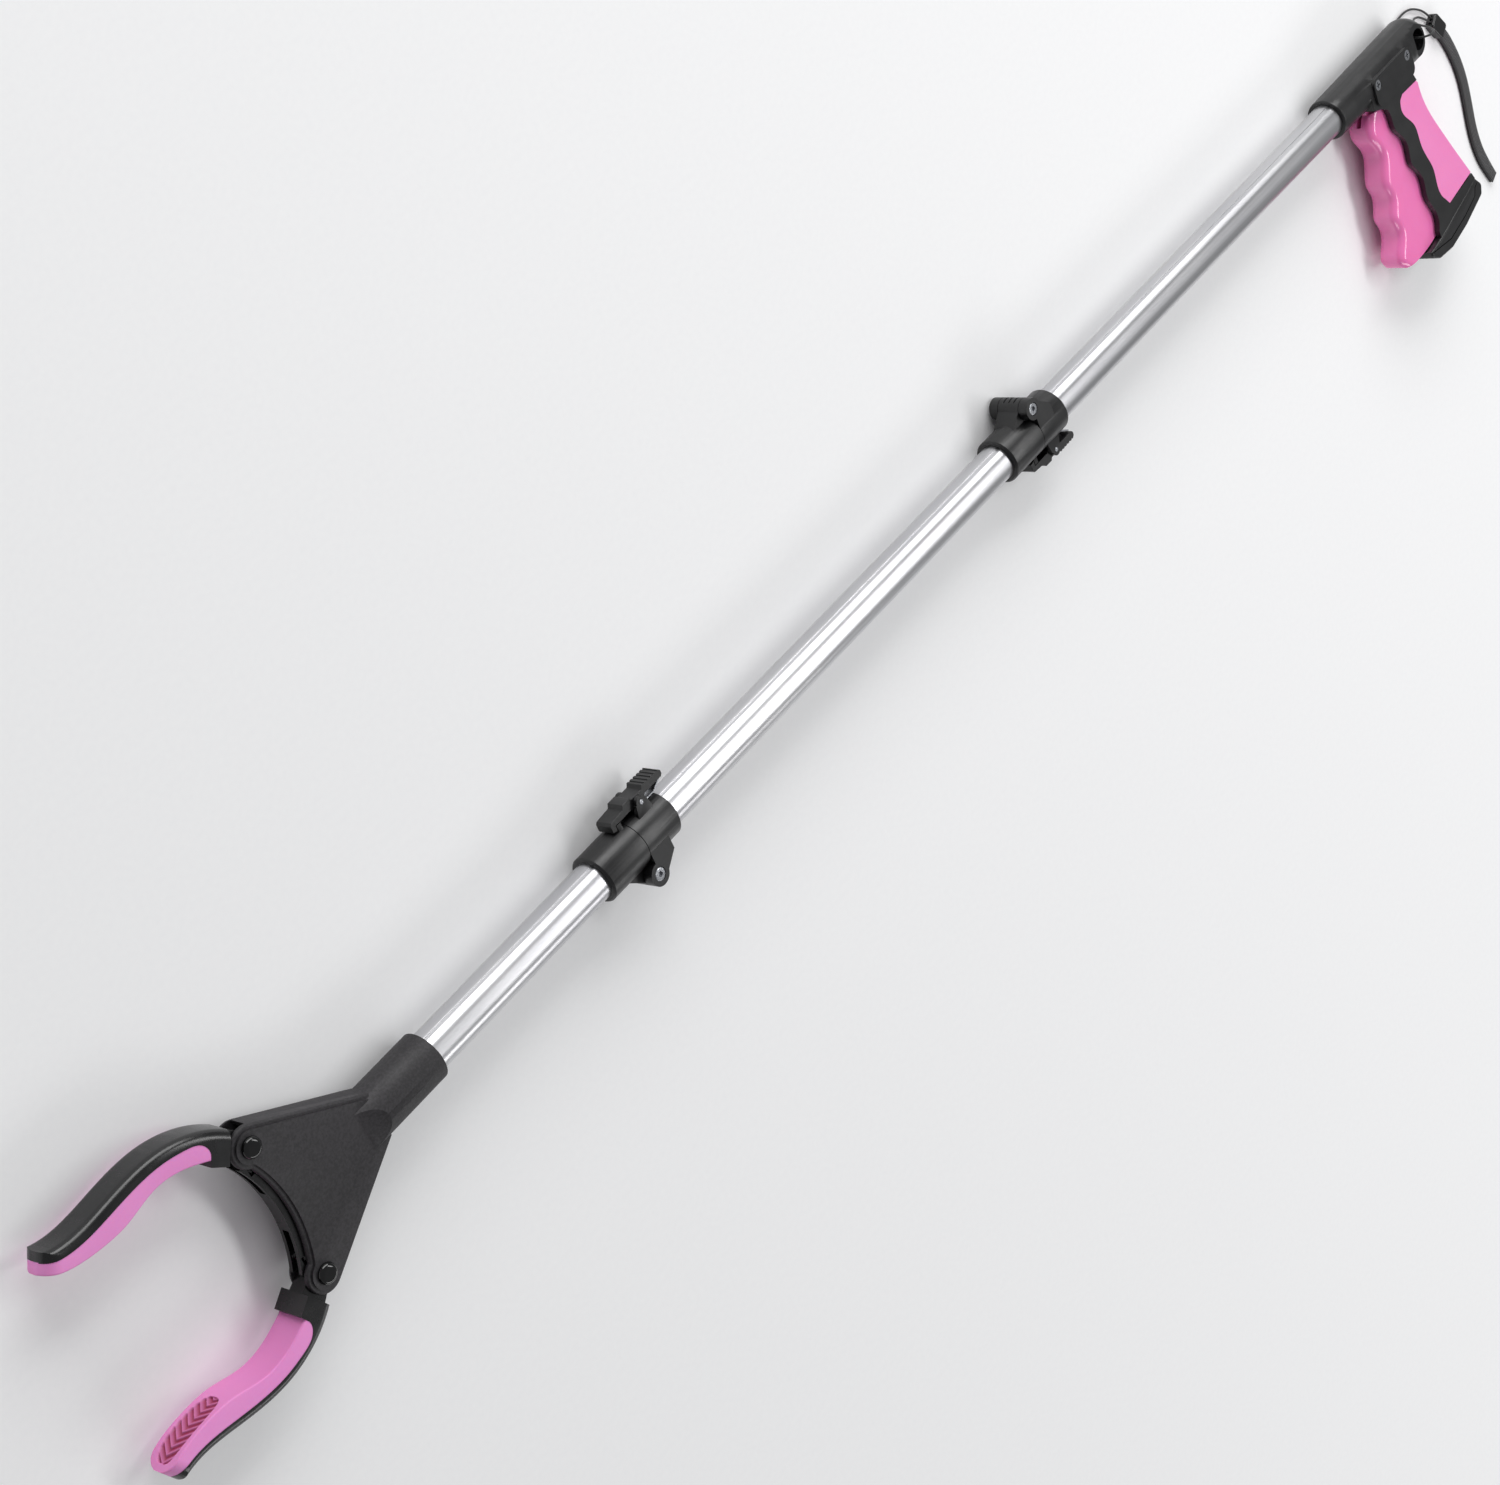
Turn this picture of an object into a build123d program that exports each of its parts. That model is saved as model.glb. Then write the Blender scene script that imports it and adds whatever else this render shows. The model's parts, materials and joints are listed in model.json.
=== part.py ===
from build123d import *
import os
from math import atan2, cos, degrees, hypot, radians, sin, sqrt

# Tri-fold reacher grabber, lying on its side. Millimetres.
# +X runs along the tubes from the handle to the jaws, +Y is the side the grip
# hangs on, and +Z is up. Every fold, the trigger and the jaws turn about Z.
# The origin is on the flat cheek of the handle that the tool lies on.

# ---- driving dimensions -------------------------------------------------
TUBE_D = 19.0
TUBE_WALL = 1.0
GROOVE_WIDTH = 1.4
GROOVE_DEPTH = 0.45
GROOVE_ANGLE = 155.0          # round the tube from +Y towards +Z
UPPER_SHOWN = 296.0           # bare tube between handle and first fold
MIDDLE_SHOWN = 279.0          # bare tube between the folds
LOWER_SHOWN = 114.0           # bare tube between second fold and head
SOCKET_RIM_X = 56.0           # mouth of the handle's socket
SOCKET_DEPTH = 20.0           # how far the upper tube goes into it

COLLAR_D = 24.0
COLLAR_REAR = 23.0            # length of the collar with ears and latch
COLLAR_FRONT = 25.5           # length of the collar with knuckle and catch
COLLAR_FLOOR = 4.0            # wall between the tube's end and the parting
PARTING = 0.3                 # gap between the two collars of a fold
PIVOT_OFFSET = 15.0           # fold screw from the tube's axis
KNUCKLE_R = 5.6
KNUCKLE_HALF = 6.2            # half height of the middle knuckle
EAR_IN = 6.5                  # the two ears, from the middle plane
EAR_OUT = 11.6
FOLD_SCREW_D = 4.0
FOLD_HEAD_D = 6.4
FOLD_HEAD_H = 2.0
CABLE_HOLE_D = 4.4

LATCH_BACK = 11.0             # latch pin behind the parting plane
LATCH_RISE = 15.8             # latch pin from the tube's axis
LATCH_HALF = 4.5              # half width of the lever
LATCH_PIN_D = 2.4
CHEEK_WALL = 2.0              # bracket beside the lever
LUG_HEIGHT = 2.6              # catch lug above the collar
LUG_START = 2.2               # catch lug ahead of the parting plane
LUG_LENGTH = 2.6

HEAD_LENGTH = 90.5            # neck rim to the jaw rivets
NECK_D = 24.0
NECK_LENGTH = 34.0
RAMP_LENGTH = 18.0            # from the round neck down to the flat plate
PLATE_HALF = 6.0              # half thickness of the head
PLATE_WALL = 1.8
FACE_RAISE = 0.9              # raised middle of each plate
FACE_INSET = 2.2              # its edge, in from the plate's own
BOSS_R = 9.2
JAW_SPACING = 68.4            # between the two jaw rivets
HEAD_ARC_R = 70.0             # hollow front edge between the bosses
HEAD_ARC_SET = 1.0            # its deepest point behind the rivets
RIVET_D = 5.0
RIVET_CAP_D = 9.4
RIVET_CAP_H = 2.3

JAW_HALF = 8.5                # half width of a jaw
JAW_EYE_R = 5.3               # round the rivet
JAW_ROUND = 3.8               # rounding along a jaw's back
JAW_OPEN = {"a": 34.0, "b": 26.0}   # each jaw's way from shut to rest
HORN_R = 9.66                 # rivet to horn pin
HORN_LEAN = 15.0              # horn pin's angle past square when shut
HORN_HALF = 1.6
HORN_PIN_D = 3.0
SLOT_PLAY = 0.9               # yoke slot beyond the horn pin, each side
MAGNET_D = 5.0
MAGNET_H = 1.6

JAW_TIP = 94.0                # rivet to tip
JAW_TIP_ROUND = 7.0
# Side view of a jaw when shut, from its rivet: back, line between arm and pad, and pad's face.
JAW_OUTER = [(10.6, 8.6), (24.3, 9.7), (43.8, 5.2), (66.4, -9.4), (84.2, -21.8), (JAW_TIP, -25.0)]
JAW_PARTING = [(20.0, -1.2), (20.9, 2.4), (24.5, 4.8), (32.0, 4.2), (42.0, 0.8), (64.0, -13.4),
               (83.0, -26.1), (JAW_TIP, -29.2)]
PAD_INNER = [(20.0, -2.0), (34.0, -3.9), (44.5, -8.2), (51.5, -14.0), (58.0, -20.2), (67.0, -26.0),
             (77.0, -30.6), (86.0, -33.2), (JAW_TIP, -33.8)]
JAW_ROOT = [JAW_PARTING[0], (20.0, -4.6), (11.2, -5.6), JAW_OUTER[0]]
MAGNET_AT = (86.5, -22.75)
MAGNET_LEAN = 72.0            # magnet's axis from the jaw's long way
BUSH_R = 10.25                # sleeve that the head turns on
BUSH_FLANGE_R = 10.9
BUSH_START = 4.0              # bush behind the neck's rim
BUSH_FLANGE_START = 14.0
BUSH_FLANGE_LENGTH = 3.0
SPRING_R = 3.1                # to the middle of the wire
SPRING_WIRE = 0.9
SPRING_TURNS = 11
SPRING_START = 4.0            # spring's seat behind the neck's inner end
YOKE_BACK = 13.0              # yoke's rear end behind the rivets
YOKE_AHEAD = 1.8              # its arc's middle ahead of them

BARREL_RIM_R = 11.9           # handle at its socket rim
BARREL_R = 13.0               # handle at its rear
CHEEK_HALF = 13.5             # flat cheeks round the screws
BARREL_END_X = -49.0
EYE_D = 12.4
EYE_RIM = 4.2
EYE_HALF = 9.0                # half thickness round the hanging eye
GRIP_HALF = 12.0
SKIN = 1.8                    # soft grip insert
GRIP_WALL = 1.5
TRIGGER_HALF = 8.3
TRIGGER_ROUND = 5.0           # rounding along its finger side
SCREW_D = 3.2
SCREW_HEAD_D = 6.0
SCREW_HEAD_H = 1.6
PIVOT_X = 18.3                # front screw, which the trigger turns on
PIVOT_Y = -1.0
REAR_SCREW_X = -17.0
CAP_R = 111.4                 # butt cap's top, round the trigger's pivot
CAP_GAP = 0.9
LINK_X = 14.3                 # pull link's pin in the trigger
LINK_Y = 21.0
FERRULE_X = 42.0              # pull link's pin in the cable's ferrule
FERRULE_D = 4.0
FERRULE_PIN_R = 0.7
LINK_PIN_R = 1.2
CABLE_D = 1.6

# Side views: the wavy front of the grip, its back, the line where the soft
# insert ends, and the trigger's finger side and hidden rear side.
GRIP_FRONT = [(14.0, 16.5), (12.5, 23), (12, 30), (6.5, 38), (4.5, 45.5), (5.5, 55), (0.3, 64),
              (-1.5, 71), (-0.5, 79.5), (-5, 92.5), (-3, 104)]
GRIP_BACK = [(-22.3, 18.5), (-24.5, 36), (-31.5, 53), (-40, 71), (-50.5, 92)]
INSERT_LINE = [(-0.5, 18.5), (0.5, 26), (-7.5, 38), (-8.5, 50), (-11, 60), (-14, 69.5), (-13.5, 80),
               (-17.5, 91)]
TRIGGER_FRONT = [(24.0, 14.4), (28.5, 29.5), (23.5, 40), (28.8, 57), (26.5, 67), (30.5, 77), (28.0, 88),
                 (35.0, 101), (33.5, 106.5)]
TRIGGER_REAR = [(8, 14.4), (5, 30), (-1.5, 40), (-1, 55), (-6, 72), (-6.5, 82), (-8.5, 95), (-8, 104.5)]
CAP_BACK = (-53.0, 97.5)
CAP_OUTER = [(-58.0, 103.5), (-55.5, 109.5), (-32.0, 116.5), (-12.0, 120.0), (3.0, 118.5), (11.0, 114.0)]
CAP_ROUND = 3.0
CAP_GROOVE = [(13.0, 110.5), (-12.0, 114.0), (-32.0, 110.5), (-47.0, 106.0), (-49.5, 101.5),
              (-60.0, 98.0)]
CAP_GROOVE_W = 0.7
CAP_FRONT_X = 11.0            # the cap's toe
CAP_STEP_X = -3.0             # where the grip's front meets the cap
CAVITY_X0 = -26.0             # rear end of the room in the barrel
ARM_HALF = 4.0                # half width of the trigger's arm
LINK_HALF = 0.8
SCREW_TIP = 10.0              # screws end this far below the middle plane

STRING_D = 1.3                # wrist strap
WEB_WIDTH = 8.6
WEB_THICK = 2.4
CLAMP_LENGTH = 14.5
CLAMP_WIDTH = 10.0
CLAMP_H = 5.2
CLAMP_START = (-87.6, 11.2)
CLAMP_END = (-95.4, 23.3)
# The loop leaves the clamp, passes under the handle's end, up through the eye
# and back over the end to the clamp.
STRING_ROUTE = [(-89.0, 11.2, 2.4), (-85.6, 5.8, 1.9), (-80.0, 0.6, 1.5), (-71.0, -4.2, 1.0),
                (-61.0, -5.2, 1.0), (-52.0, -3.6, 1.0), (-44.6, -1.2, 1.4), (-41.4, -0.4, 7.8),
                (-41.2, 0.0, 15.5), (-41.8, 0.6, 23.0), (-45.5, 1.0, 27.4), (-51.5, 1.3, 26.2),
                (-56.5, 1.3, 20.0), (-60.0, 1.2, 12.0), (-65.0, 1.4, 5.2), (-73.0, 2.6, 1.6),
                (-80.5, 5.6, 1.4), (-86.9, 12.6, 2.4)]
WEB_ROUTE = [(-94.6, 22.0), (-98.0, 27.3), (-101.5, 36.5), (-104.6, 48.5), (-105.4, 61.5),
             (-103.6, 76.0), (-101.4, 90.0), (-101.9, 104.0), (-105.4, 116.5), (-110.6, 128.0)]

TUBE_FIT = 0.05               # radial, in one body
RUN_FIT = 0.06                # radial, round a pin that turns
SIDE_GAP = 0.3                # between bodies that pass each other

# ---- worked out ----------------------------------------------------------
AXIS_Z = CHEEK_HALF
TUBE_R = TUBE_D / 2
COLLAR_R = COLLAR_D / 2
NECK_R = NECK_D / 2
HINGE_1_X = SOCKET_RIM_X + UPPER_SHOWN + COLLAR_REAR
HINGE_2_X = HINGE_1_X + COLLAR_FRONT + MIDDLE_SHOWN + COLLAR_REAR
NECK_X = HINGE_2_X + COLLAR_FRONT + LOWER_SHOWN
JAW_X = NECK_X + HEAD_LENGTH
JAW_Y = JAW_SPACING / 2
TUBE_IN_NECK = NECK_LENGTH - 4
YOKE_X = JAW_X + HORN_R * sin(radians(HORN_LEAN))   # horn pins' middle at rest
YOKE_HUB_X0 = JAW_X - YOKE_BACK
YOKE_FRONT_X = JAW_X + YOKE_AHEAD
YOKE_HUB_X1 = YOKE_FRONT_X - 0.5
HORN_PIN = (-HORN_R * sin(radians(HORN_LEAN)), -HORN_R * cos(radians(HORN_LEAN)))
BUSH_FLANGE_X = NECK_X + BUSH_FLANGE_START
SPRING_X0 = NECK_X + NECK_LENGTH + SPRING_START
EYE_X = BARREL_END_X + EYE_D / 2 + EYE_RIM
CAVITY_R = TUBE_R - TUBE_WALL + 0.1
HOLLOW_HALF = TRIGGER_HALF + 0.6


def level(z):
    """Plane parallel to the floor, z above the tubes' axis."""
    return Plane.XY.offset(AXIS_Z + z)


def across(x):
    """Plane square to the tubes: its own x is +Y and its own y is +Z."""
    return Plane(origin=(x, 0, AXIS_Z), x_dir=(0, 1, 0), z_dir=(1, 0, 0))


def upright(x, y):
    """Plane through a Z axis: its own x is +X and its own y is +Z."""
    return Plane(origin=(x, y, AXIS_Z), x_dir=(1, 0, 0), z_dir=(0, -1, 0))


def flip(points, side):
    return [(x, side * y) for x, y in points]


def shift(points, x):
    return [(x + px, py) for px, py in points]


def drill(x, y, radius, z0=-40.0, z1=40.0):
    """Cut a round hole along Z in the part being built."""
    with BuildSketch(level(z0)) as hole:
        with Locations((x, y)):
            Circle(radius)
    extrude(hole.sketch, amount=z1 - z0, mode=Mode.SUBTRACT)


def bore(x0, x1, radius):
    """Cut a round hole along the tubes' axis in the part being built."""
    with BuildSketch(across(x0)) as hole:
        Circle(radius)
    extrude(hole.sketch, amount=x1 - x0, mode=Mode.SUBTRACT)


def save(builder, name):
    builder.part.label = name
    export_step(builder.part, f"parts/{name}.step")


# ---- tubes and cable -----------------------------------------------------
def tube(x0, x1):
    with BuildPart() as section:
        with BuildSketch(across(x0)):
            Circle(TUBE_R)
            Circle(TUBE_R - TUBE_WALL, mode=Mode.SUBTRACT)
            with PolarLocations(TUBE_R, 1, start_angle=GROOVE_ANGLE):
                Rectangle(2 * GROOVE_DEPTH, GROOVE_WIDTH, mode=Mode.SUBTRACT)
        extrude(amount=x1 - x0)
    return section


def cable(x0, x1, radius=CABLE_D / 2):
    with BuildPart() as length:
        with BuildSketch(across(x0)):
            Circle(radius)
        extrude(amount=x1 - x0)
    return length


def cable_with_ferrule(x1):
    """First length of the cable, with the forked ferrule that the link pulls."""
    tail, nose, fork, slot = 3.2, 9.0, 6.0, 1.1
    with BuildPart() as length:
        with BuildSketch(across(FERRULE_X - tail)):
            Circle(FERRULE_D / 2)
        extrude(amount=tail + nose)
        with BuildSketch(across(FERRULE_X - tail)):
            Rectangle(2 * FERRULE_D, 2 * slot)
        extrude(amount=fork, mode=Mode.SUBTRACT)
        with BuildSketch(level(-FERRULE_D / 2 + 0.4)):
            with Locations((FERRULE_X, 0)):
                Circle(FERRULE_PIN_R)
        extrude(amount=FERRULE_D - 0.8)
        with BuildSketch(across(FERRULE_X + nose)):
            Circle(CABLE_D / 2)
        extrude(amount=x1 - FERRULE_X - nose)
    return length


# ---- fold joints -----------------------------------------------------------
def rear_collar(x, side):
    """Collar with the two ears on one side and the latch bracket on the other."""
    pivot_y = side * PIVOT_OFFSET
    latch_x, latch_y = x - LATCH_BACK, -side * LATCH_RISE
    rim = 0.8
    cheek_r = 3.0
    ear_web = flip([(0, KNUCKLE_R + PIVOT_OFFSET), (-13, 10.5), (-13, 3.5), (0, 3.5)], side)
    cheek_web = flip([(-3.6, LATCH_RISE), (-5.2, 9.0), (5.2, 9.0), (3.6, LATCH_RISE)], -side)
    with BuildPart() as collar:
        with BuildSketch(across(x - COLLAR_REAR)):
            Circle(COLLAR_R)
        extrude(amount=COLLAR_REAR - PARTING / 2)
        chamfer(collar.edges().filter_by(GeomType.CIRCLE).group_by(Axis.X)[0], rim)
        drill(x, pivot_y, KNUCKLE_R + SIDE_GAP, -KNUCKLE_HALF - SIDE_GAP, KNUCKLE_HALF + SIDE_GAP)
        for z0 in (EAR_IN, -EAR_OUT):
            with BuildSketch(level(z0)):
                with Locations((x, pivot_y)):
                    Circle(KNUCKLE_R)
                Polygon(*shift(ear_web, x), align=None)
            extrude(amount=EAR_OUT - EAR_IN)
        for z0 in (LATCH_HALF + SIDE_GAP, -LATCH_HALF - SIDE_GAP - CHEEK_WALL):
            with BuildSketch(level(z0)):
                with Locations((latch_x, latch_y)):
                    Circle(cheek_r)
                Polygon(*shift(cheek_web, latch_x), align=None)
            extrude(amount=CHEEK_WALL)
        bore(x - COLLAR_REAR, x - COLLAR_FLOOR, TUBE_R + TUBE_FIT)
        bore(x - COLLAR_REAR, x, CABLE_HOLE_D / 2)
        with BuildSketch(level(-EAR_IN)):
            with BuildLine():
                Polyline(*shift(flip([(-PARTING / 2, 2.5), (8, 2.5), (8, 40), (-PARTING / 2, 40)], side), x),
                         close=True)
            make_face()
        extrude(amount=2 * EAR_IN, mode=Mode.SUBTRACT)
        drill(x, pivot_y, FOLD_SCREW_D / 2 + TUBE_FIT)
        drill(x, pivot_y, FOLD_HEAD_D / 2 + TUBE_FIT, EAR_OUT - FOLD_HEAD_H, EAR_OUT)
        with BuildSketch(level(-EAR_OUT)):
            with Locations((x, pivot_y)):
                RegularPolygon(FOLD_HEAD_D / 2 + TUBE_FIT, 6)
        extrude(amount=FOLD_HEAD_H, mode=Mode.SUBTRACT)
        drill(latch_x, latch_y, LATCH_PIN_D / 2 + TUBE_FIT)
    return collar


def front_collar(x, side):
    """Collar with the middle knuckle on one side and the catch lug on the other."""
    pivot_y = side * PIVOT_OFFSET
    rim = 0.8
    web = flip([(0, KNUCKLE_R + PIVOT_OFFSET), (13, 10.5), (13, 6.0), (PARTING / 2, 6.0),
                (PARTING / 2, 9.4), (0, 9.4)], side)
    rib_pitch, rib_deep = 3.1, 0.7
    with BuildPart() as collar:
        with BuildSketch(across(x + PARTING / 2)):
            Circle(COLLAR_R)
        extrude(amount=COLLAR_FRONT - PARTING / 2)
        chamfer(collar.edges().filter_by(GeomType.CIRCLE).group_by(Axis.X)[-1], rim)
        drill(x, pivot_y, KNUCKLE_R + SIDE_GAP, EAR_IN - SIDE_GAP, 2 * EAR_OUT)
        drill(x, pivot_y, KNUCKLE_R + SIDE_GAP, -2 * EAR_OUT, -EAR_IN + SIDE_GAP)
        with BuildSketch(level(-KNUCKLE_HALF)):
            with Locations((x, pivot_y)):
                Circle(KNUCKLE_R)
            Polygon(*shift(web, x), align=None)
        extrude(amount=2 * KNUCKLE_HALF)
        for z in (-rib_pitch, 0, rib_pitch):
            with BuildSketch(level(z - rib_deep / 2)):
                with Locations((x, pivot_y)):
                    Circle(2 * KNUCKLE_R)
                    Circle(KNUCKLE_R - rib_deep, mode=Mode.SUBTRACT)
                with Locations((x + 3 * KNUCKLE_R, side * 3)):
                    Rectangle(6 * KNUCKLE_R, 6 * KNUCKLE_R, mode=Mode.SUBTRACT)
            extrude(amount=rib_deep, mode=Mode.SUBTRACT)
        with BuildSketch(level(-LATCH_HALF)):
            with Locations((x + LUG_START + LUG_LENGTH / 2, -side * (COLLAR_R + LUG_HEIGHT - 3))):
                Rectangle(LUG_LENGTH, 6)
        extrude(amount=2 * LATCH_HALF)
        bore(x + COLLAR_FLOOR, x + COLLAR_FRONT, TUBE_R + TUBE_FIT)
        bore(x, x + COLLAR_FRONT, CABLE_HOLE_D / 2)
        drill(x, pivot_y, FOLD_SCREW_D / 2 + RUN_FIT)
    return collar


def fold_screw(x, side):
    """Socket-head screw that the two collars turn on."""
    with BuildPart() as screw:
        with BuildSketch(level(-EAR_OUT + 0.2)):
            with Locations((x, side * PIVOT_OFFSET)):
                Circle(FOLD_SCREW_D / 2)
        extrude(amount=2 * EAR_OUT - 0.2 - FOLD_HEAD_H)
        with BuildSketch(level(EAR_OUT - FOLD_HEAD_H)):
            with Locations((x, side * PIVOT_OFFSET)):
                Circle(FOLD_HEAD_D / 2)
        extrude(amount=FOLD_HEAD_H - 0.1)
        fillet(screw.edges().filter_by(GeomType.CIRCLE).group_by(Axis.Z)[-1], 0.5)
        with BuildSketch(level(EAR_OUT - 1.2)):
            with Locations((x, side * PIVOT_OFFSET)):
                RegularPolygon(1.5, 6)
        extrude(amount=2, mode=Mode.SUBTRACT)
    return screw


def fold_nut(x, side):
    with BuildPart() as nut:
        with BuildSketch(level(-EAR_OUT + 0.1)):
            with Locations((x, side * PIVOT_OFFSET)):
                RegularPolygon(FOLD_HEAD_D / 2, 6)
                Circle(FOLD_SCREW_D / 2 + TUBE_FIT, mode=Mode.SUBTRACT)
        extrude(amount=FOLD_HEAD_H - 0.2)
    return nut


def latch_lever(x, side):
    """Spring-loaded lever: ridged thumb pad behind the pin, hook ahead of it."""
    top = COLLAR_R + LUG_HEIGHT
    catch = LUG_START + LUG_LENGTH
    outline = [(catch + 0.4, COLLAR_R + 0.4), (catch + 0.4, top + 0.4), (-5.5, top + 0.4), (-8.0, 13.2),
               (-14.0, 13.2), (-16.5, 16.2), (-28.5, 16.2), (-29.5, 17.2), (-29.5, 19.0), (-28.0, 20.2),
               (-16.5, 20.6), (-15.5, 18.9), (-8.5, 18.9), (-7.5, 20.2), (-2.5, 20.2), (-1.5, 18.2),
               (catch + 2.2, 17.6), (catch + 3.2, 16.4), (catch + 3.2, COLLAR_R + 0.9)]
    ridge_count, ridge_pitch, ridge_deep = 5, 2.3, 0.5
    with BuildPart() as lever:
        with BuildSketch(level(-LATCH_HALF)):
            Polygon(*shift(flip(outline, -side), x), align=None)
        extrude(amount=2 * LATCH_HALF)
        for i in range(ridge_count):
            with BuildSketch(level(-2 * LATCH_HALF)):
                with Locations((x - 27.2 + i * ridge_pitch, -side * (20.3 + i * 0.08))):
                    Rectangle(0.9, 2 * ridge_deep)
            extrude(amount=4 * LATCH_HALF, mode=Mode.SUBTRACT)
        drill(x - LATCH_BACK, -side * LATCH_RISE, LATCH_PIN_D / 2 + RUN_FIT)
    return lever


def latch_pin(x, side):
    half = LATCH_HALF + SIDE_GAP + CHEEK_WALL + 0.3
    with BuildPart() as pin:
        with BuildSketch(level(-half)):
            with Locations((x - LATCH_BACK, -side * LATCH_RISE)):
                Circle(LATCH_PIN_D / 2)
        extrude(amount=2 * half)
        chamfer(pin.edges().filter_by(GeomType.CIRCLE), 0.2)
    return pin


def latch_spring(x, side):
    """Bent leaf of spring steel between the collar and the thumb pad."""
    foot = COLLAR_R + 0.1
    outline = [(-16.4, foot), (-22.6, foot), (-28.6, 15.4), (-28.3, 16.0), (-22.4, foot + 0.6),
               (-16.4, foot + 0.6)]
    with BuildPart() as leaf:
        with BuildSketch(level(-3.0)):
            Polygon(*shift(flip(outline, -side), x), align=None)
        extrude(amount=6.0)
    return leaf


# ---- head and jaws ---------------------------------------------------------


def swivel_bush():
    """Sleeve on the lower tube's end, with the flange that the head turns on."""
    with BuildPart() as bush:
        with BuildSketch(across(NECK_X + BUSH_START)):
            Circle(BUSH_R)
        extrude(amount=TUBE_IN_NECK - BUSH_START)
        with BuildSketch(across(BUSH_FLANGE_X)):
            Circle(BUSH_FLANGE_R)
        extrude(amount=BUSH_FLANGE_LENGTH)
        bore(NECK_X, JAW_X, TUBE_R + TUBE_FIT)
    return bush


def head_outline():
    """Y-shaped plate: neck, two bosses and the hollow front edge."""
    with Locations((NECK_X + NECK_LENGTH + 5, 0)):
        Rectangle(10, 2 * NECK_R - 1)
    with Locations((JAW_X, JAW_Y), (JAW_X, -JAW_Y)):
        Circle(BOSS_R)
    make_hull()
    with Locations((JAW_X - HEAD_ARC_SET + HEAD_ARC_R, 0)):
        Circle(HEAD_ARC_R, mode=Mode.SUBTRACT)
    with Locations((JAW_X, JAW_Y), (JAW_X, -JAW_Y)):
        Circle(BOSS_R)


def half_disc(side):
    """Section of the neck above (side 1) or below (side -1) the middle plane."""
    Circle(NECK_R)
    with Locations((0, -side * NECK_R)):
        Rectangle(4 * NECK_R, 2 * NECK_R, mode=Mode.SUBTRACT)


def neck_ramp(side):
    """Where the round neck runs out into the flat plate."""
    neck_end = NECK_X + NECK_LENGTH
    low = PLATE_HALF - 0.5
    with BuildPart() as ramp:
        with BuildSketch(across(neck_end)):
            half_disc(side)
        extrude(amount=RAMP_LENGTH)
        with BuildSketch(upright(0, 0)):
            with BuildLine():
                Polyline((neck_end + RAMP_LENGTH, side * low), (neck_end + RAMP_LENGTH, 0), (neck_end, 0),
                         (neck_end, side * NECK_R))
                ThreePointArc((neck_end, side * NECK_R), (neck_end + 7.5, side * 8.3),
                              (neck_end + RAMP_LENGTH, side * low))
            make_face()
        extrude(amount=NECK_R, both=True, mode=Mode.INTERSECT)
    return ramp.part


def head_shell(side):
    """Upper (side 1) or lower (side -1) half of the head, parted at the middle plane."""
    inner = PLATE_HALF - PLATE_WALL
    with BuildPart() as shell:
        with BuildSketch(level(0)):
            head_outline()
        extrude(amount=side * PLATE_HALF)
        rims = shell.faces().sort_by(Axis.Z)[-1 if side > 0 else 0].edges()
        fillet(rims, 1.1)
        with BuildSketch(level(side * (PLATE_HALF - 1))):
            head_outline()
            offset(amount=-FACE_INSET)
        extrude(amount=side * (1 + FACE_RAISE))
        with BuildSketch(across(NECK_X)):
            half_disc(side)
        extrude(amount=NECK_LENGTH)
        add(neck_ramp(side))
        # seat for the lower tube, the bush and its flange
        bore(NECK_X, NECK_X + BUSH_START - SIDE_GAP, TUBE_R + SIDE_GAP)
        bore(NECK_X + BUSH_START - SIDE_GAP, NECK_X + TUBE_IN_NECK + SIDE_GAP, BUSH_R + SIDE_GAP)
        flange_end = BUSH_FLANGE_X + BUSH_FLANGE_LENGTH + SIDE_GAP
        bore(BUSH_FLANGE_X - SIDE_GAP, flange_end, BUSH_FLANGE_R + SIDE_GAP)
        bore(NECK_X, SPRING_X0, CABLE_HOLE_D / 2)
        bore(SPRING_X0, JAW_X, SPRING_R + SPRING_WIRE)
        # room for the yoke, the horns and the jaws between the plates
        with BuildSketch(level(0)):
            head_outline()
            offset(amount=-PLATE_WALL)
            with Locations((NECK_X + 30, 0)):
                Rectangle(50, 60, mode=Mode.SUBTRACT)
        extrude(amount=side * inner, mode=Mode.SUBTRACT)
        with BuildSketch(level(0)):
            with Locations((JAW_X - 4 + 20, 0)):
                Rectangle(40, 120)
        extrude(amount=side * inner, mode=Mode.SUBTRACT)
        for y in (JAW_Y, -JAW_Y):
            drill(JAW_X, y, RIVET_D / 2 + TUBE_FIT)
    return shell


def jaw_rivets():
    """Two rivets with dome caps on both sides."""
    face = PLATE_HALF + FACE_RAISE
    with BuildPart() as rivets:
        with BuildSketch(level(-face)):
            with Locations((JAW_X, JAW_Y), (JAW_X, -JAW_Y)):
                Circle(RIVET_D / 2)
        extrude(amount=2 * face)
        for side in (1, -1):
            with BuildSketch(level(side * face)):
                with Locations((JAW_X, JAW_Y), (JAW_X, -JAW_Y)):
                    Circle(RIVET_CAP_D / 2)
            extrude(amount=side * RIVET_CAP_H)
        rims = rivets.edges().filter_by(GeomType.CIRCLE).group_by(Axis.Z)
        fillet(rims[0] + rims[-1], RIVET_CAP_H - 0.25)
    return rivets


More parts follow.
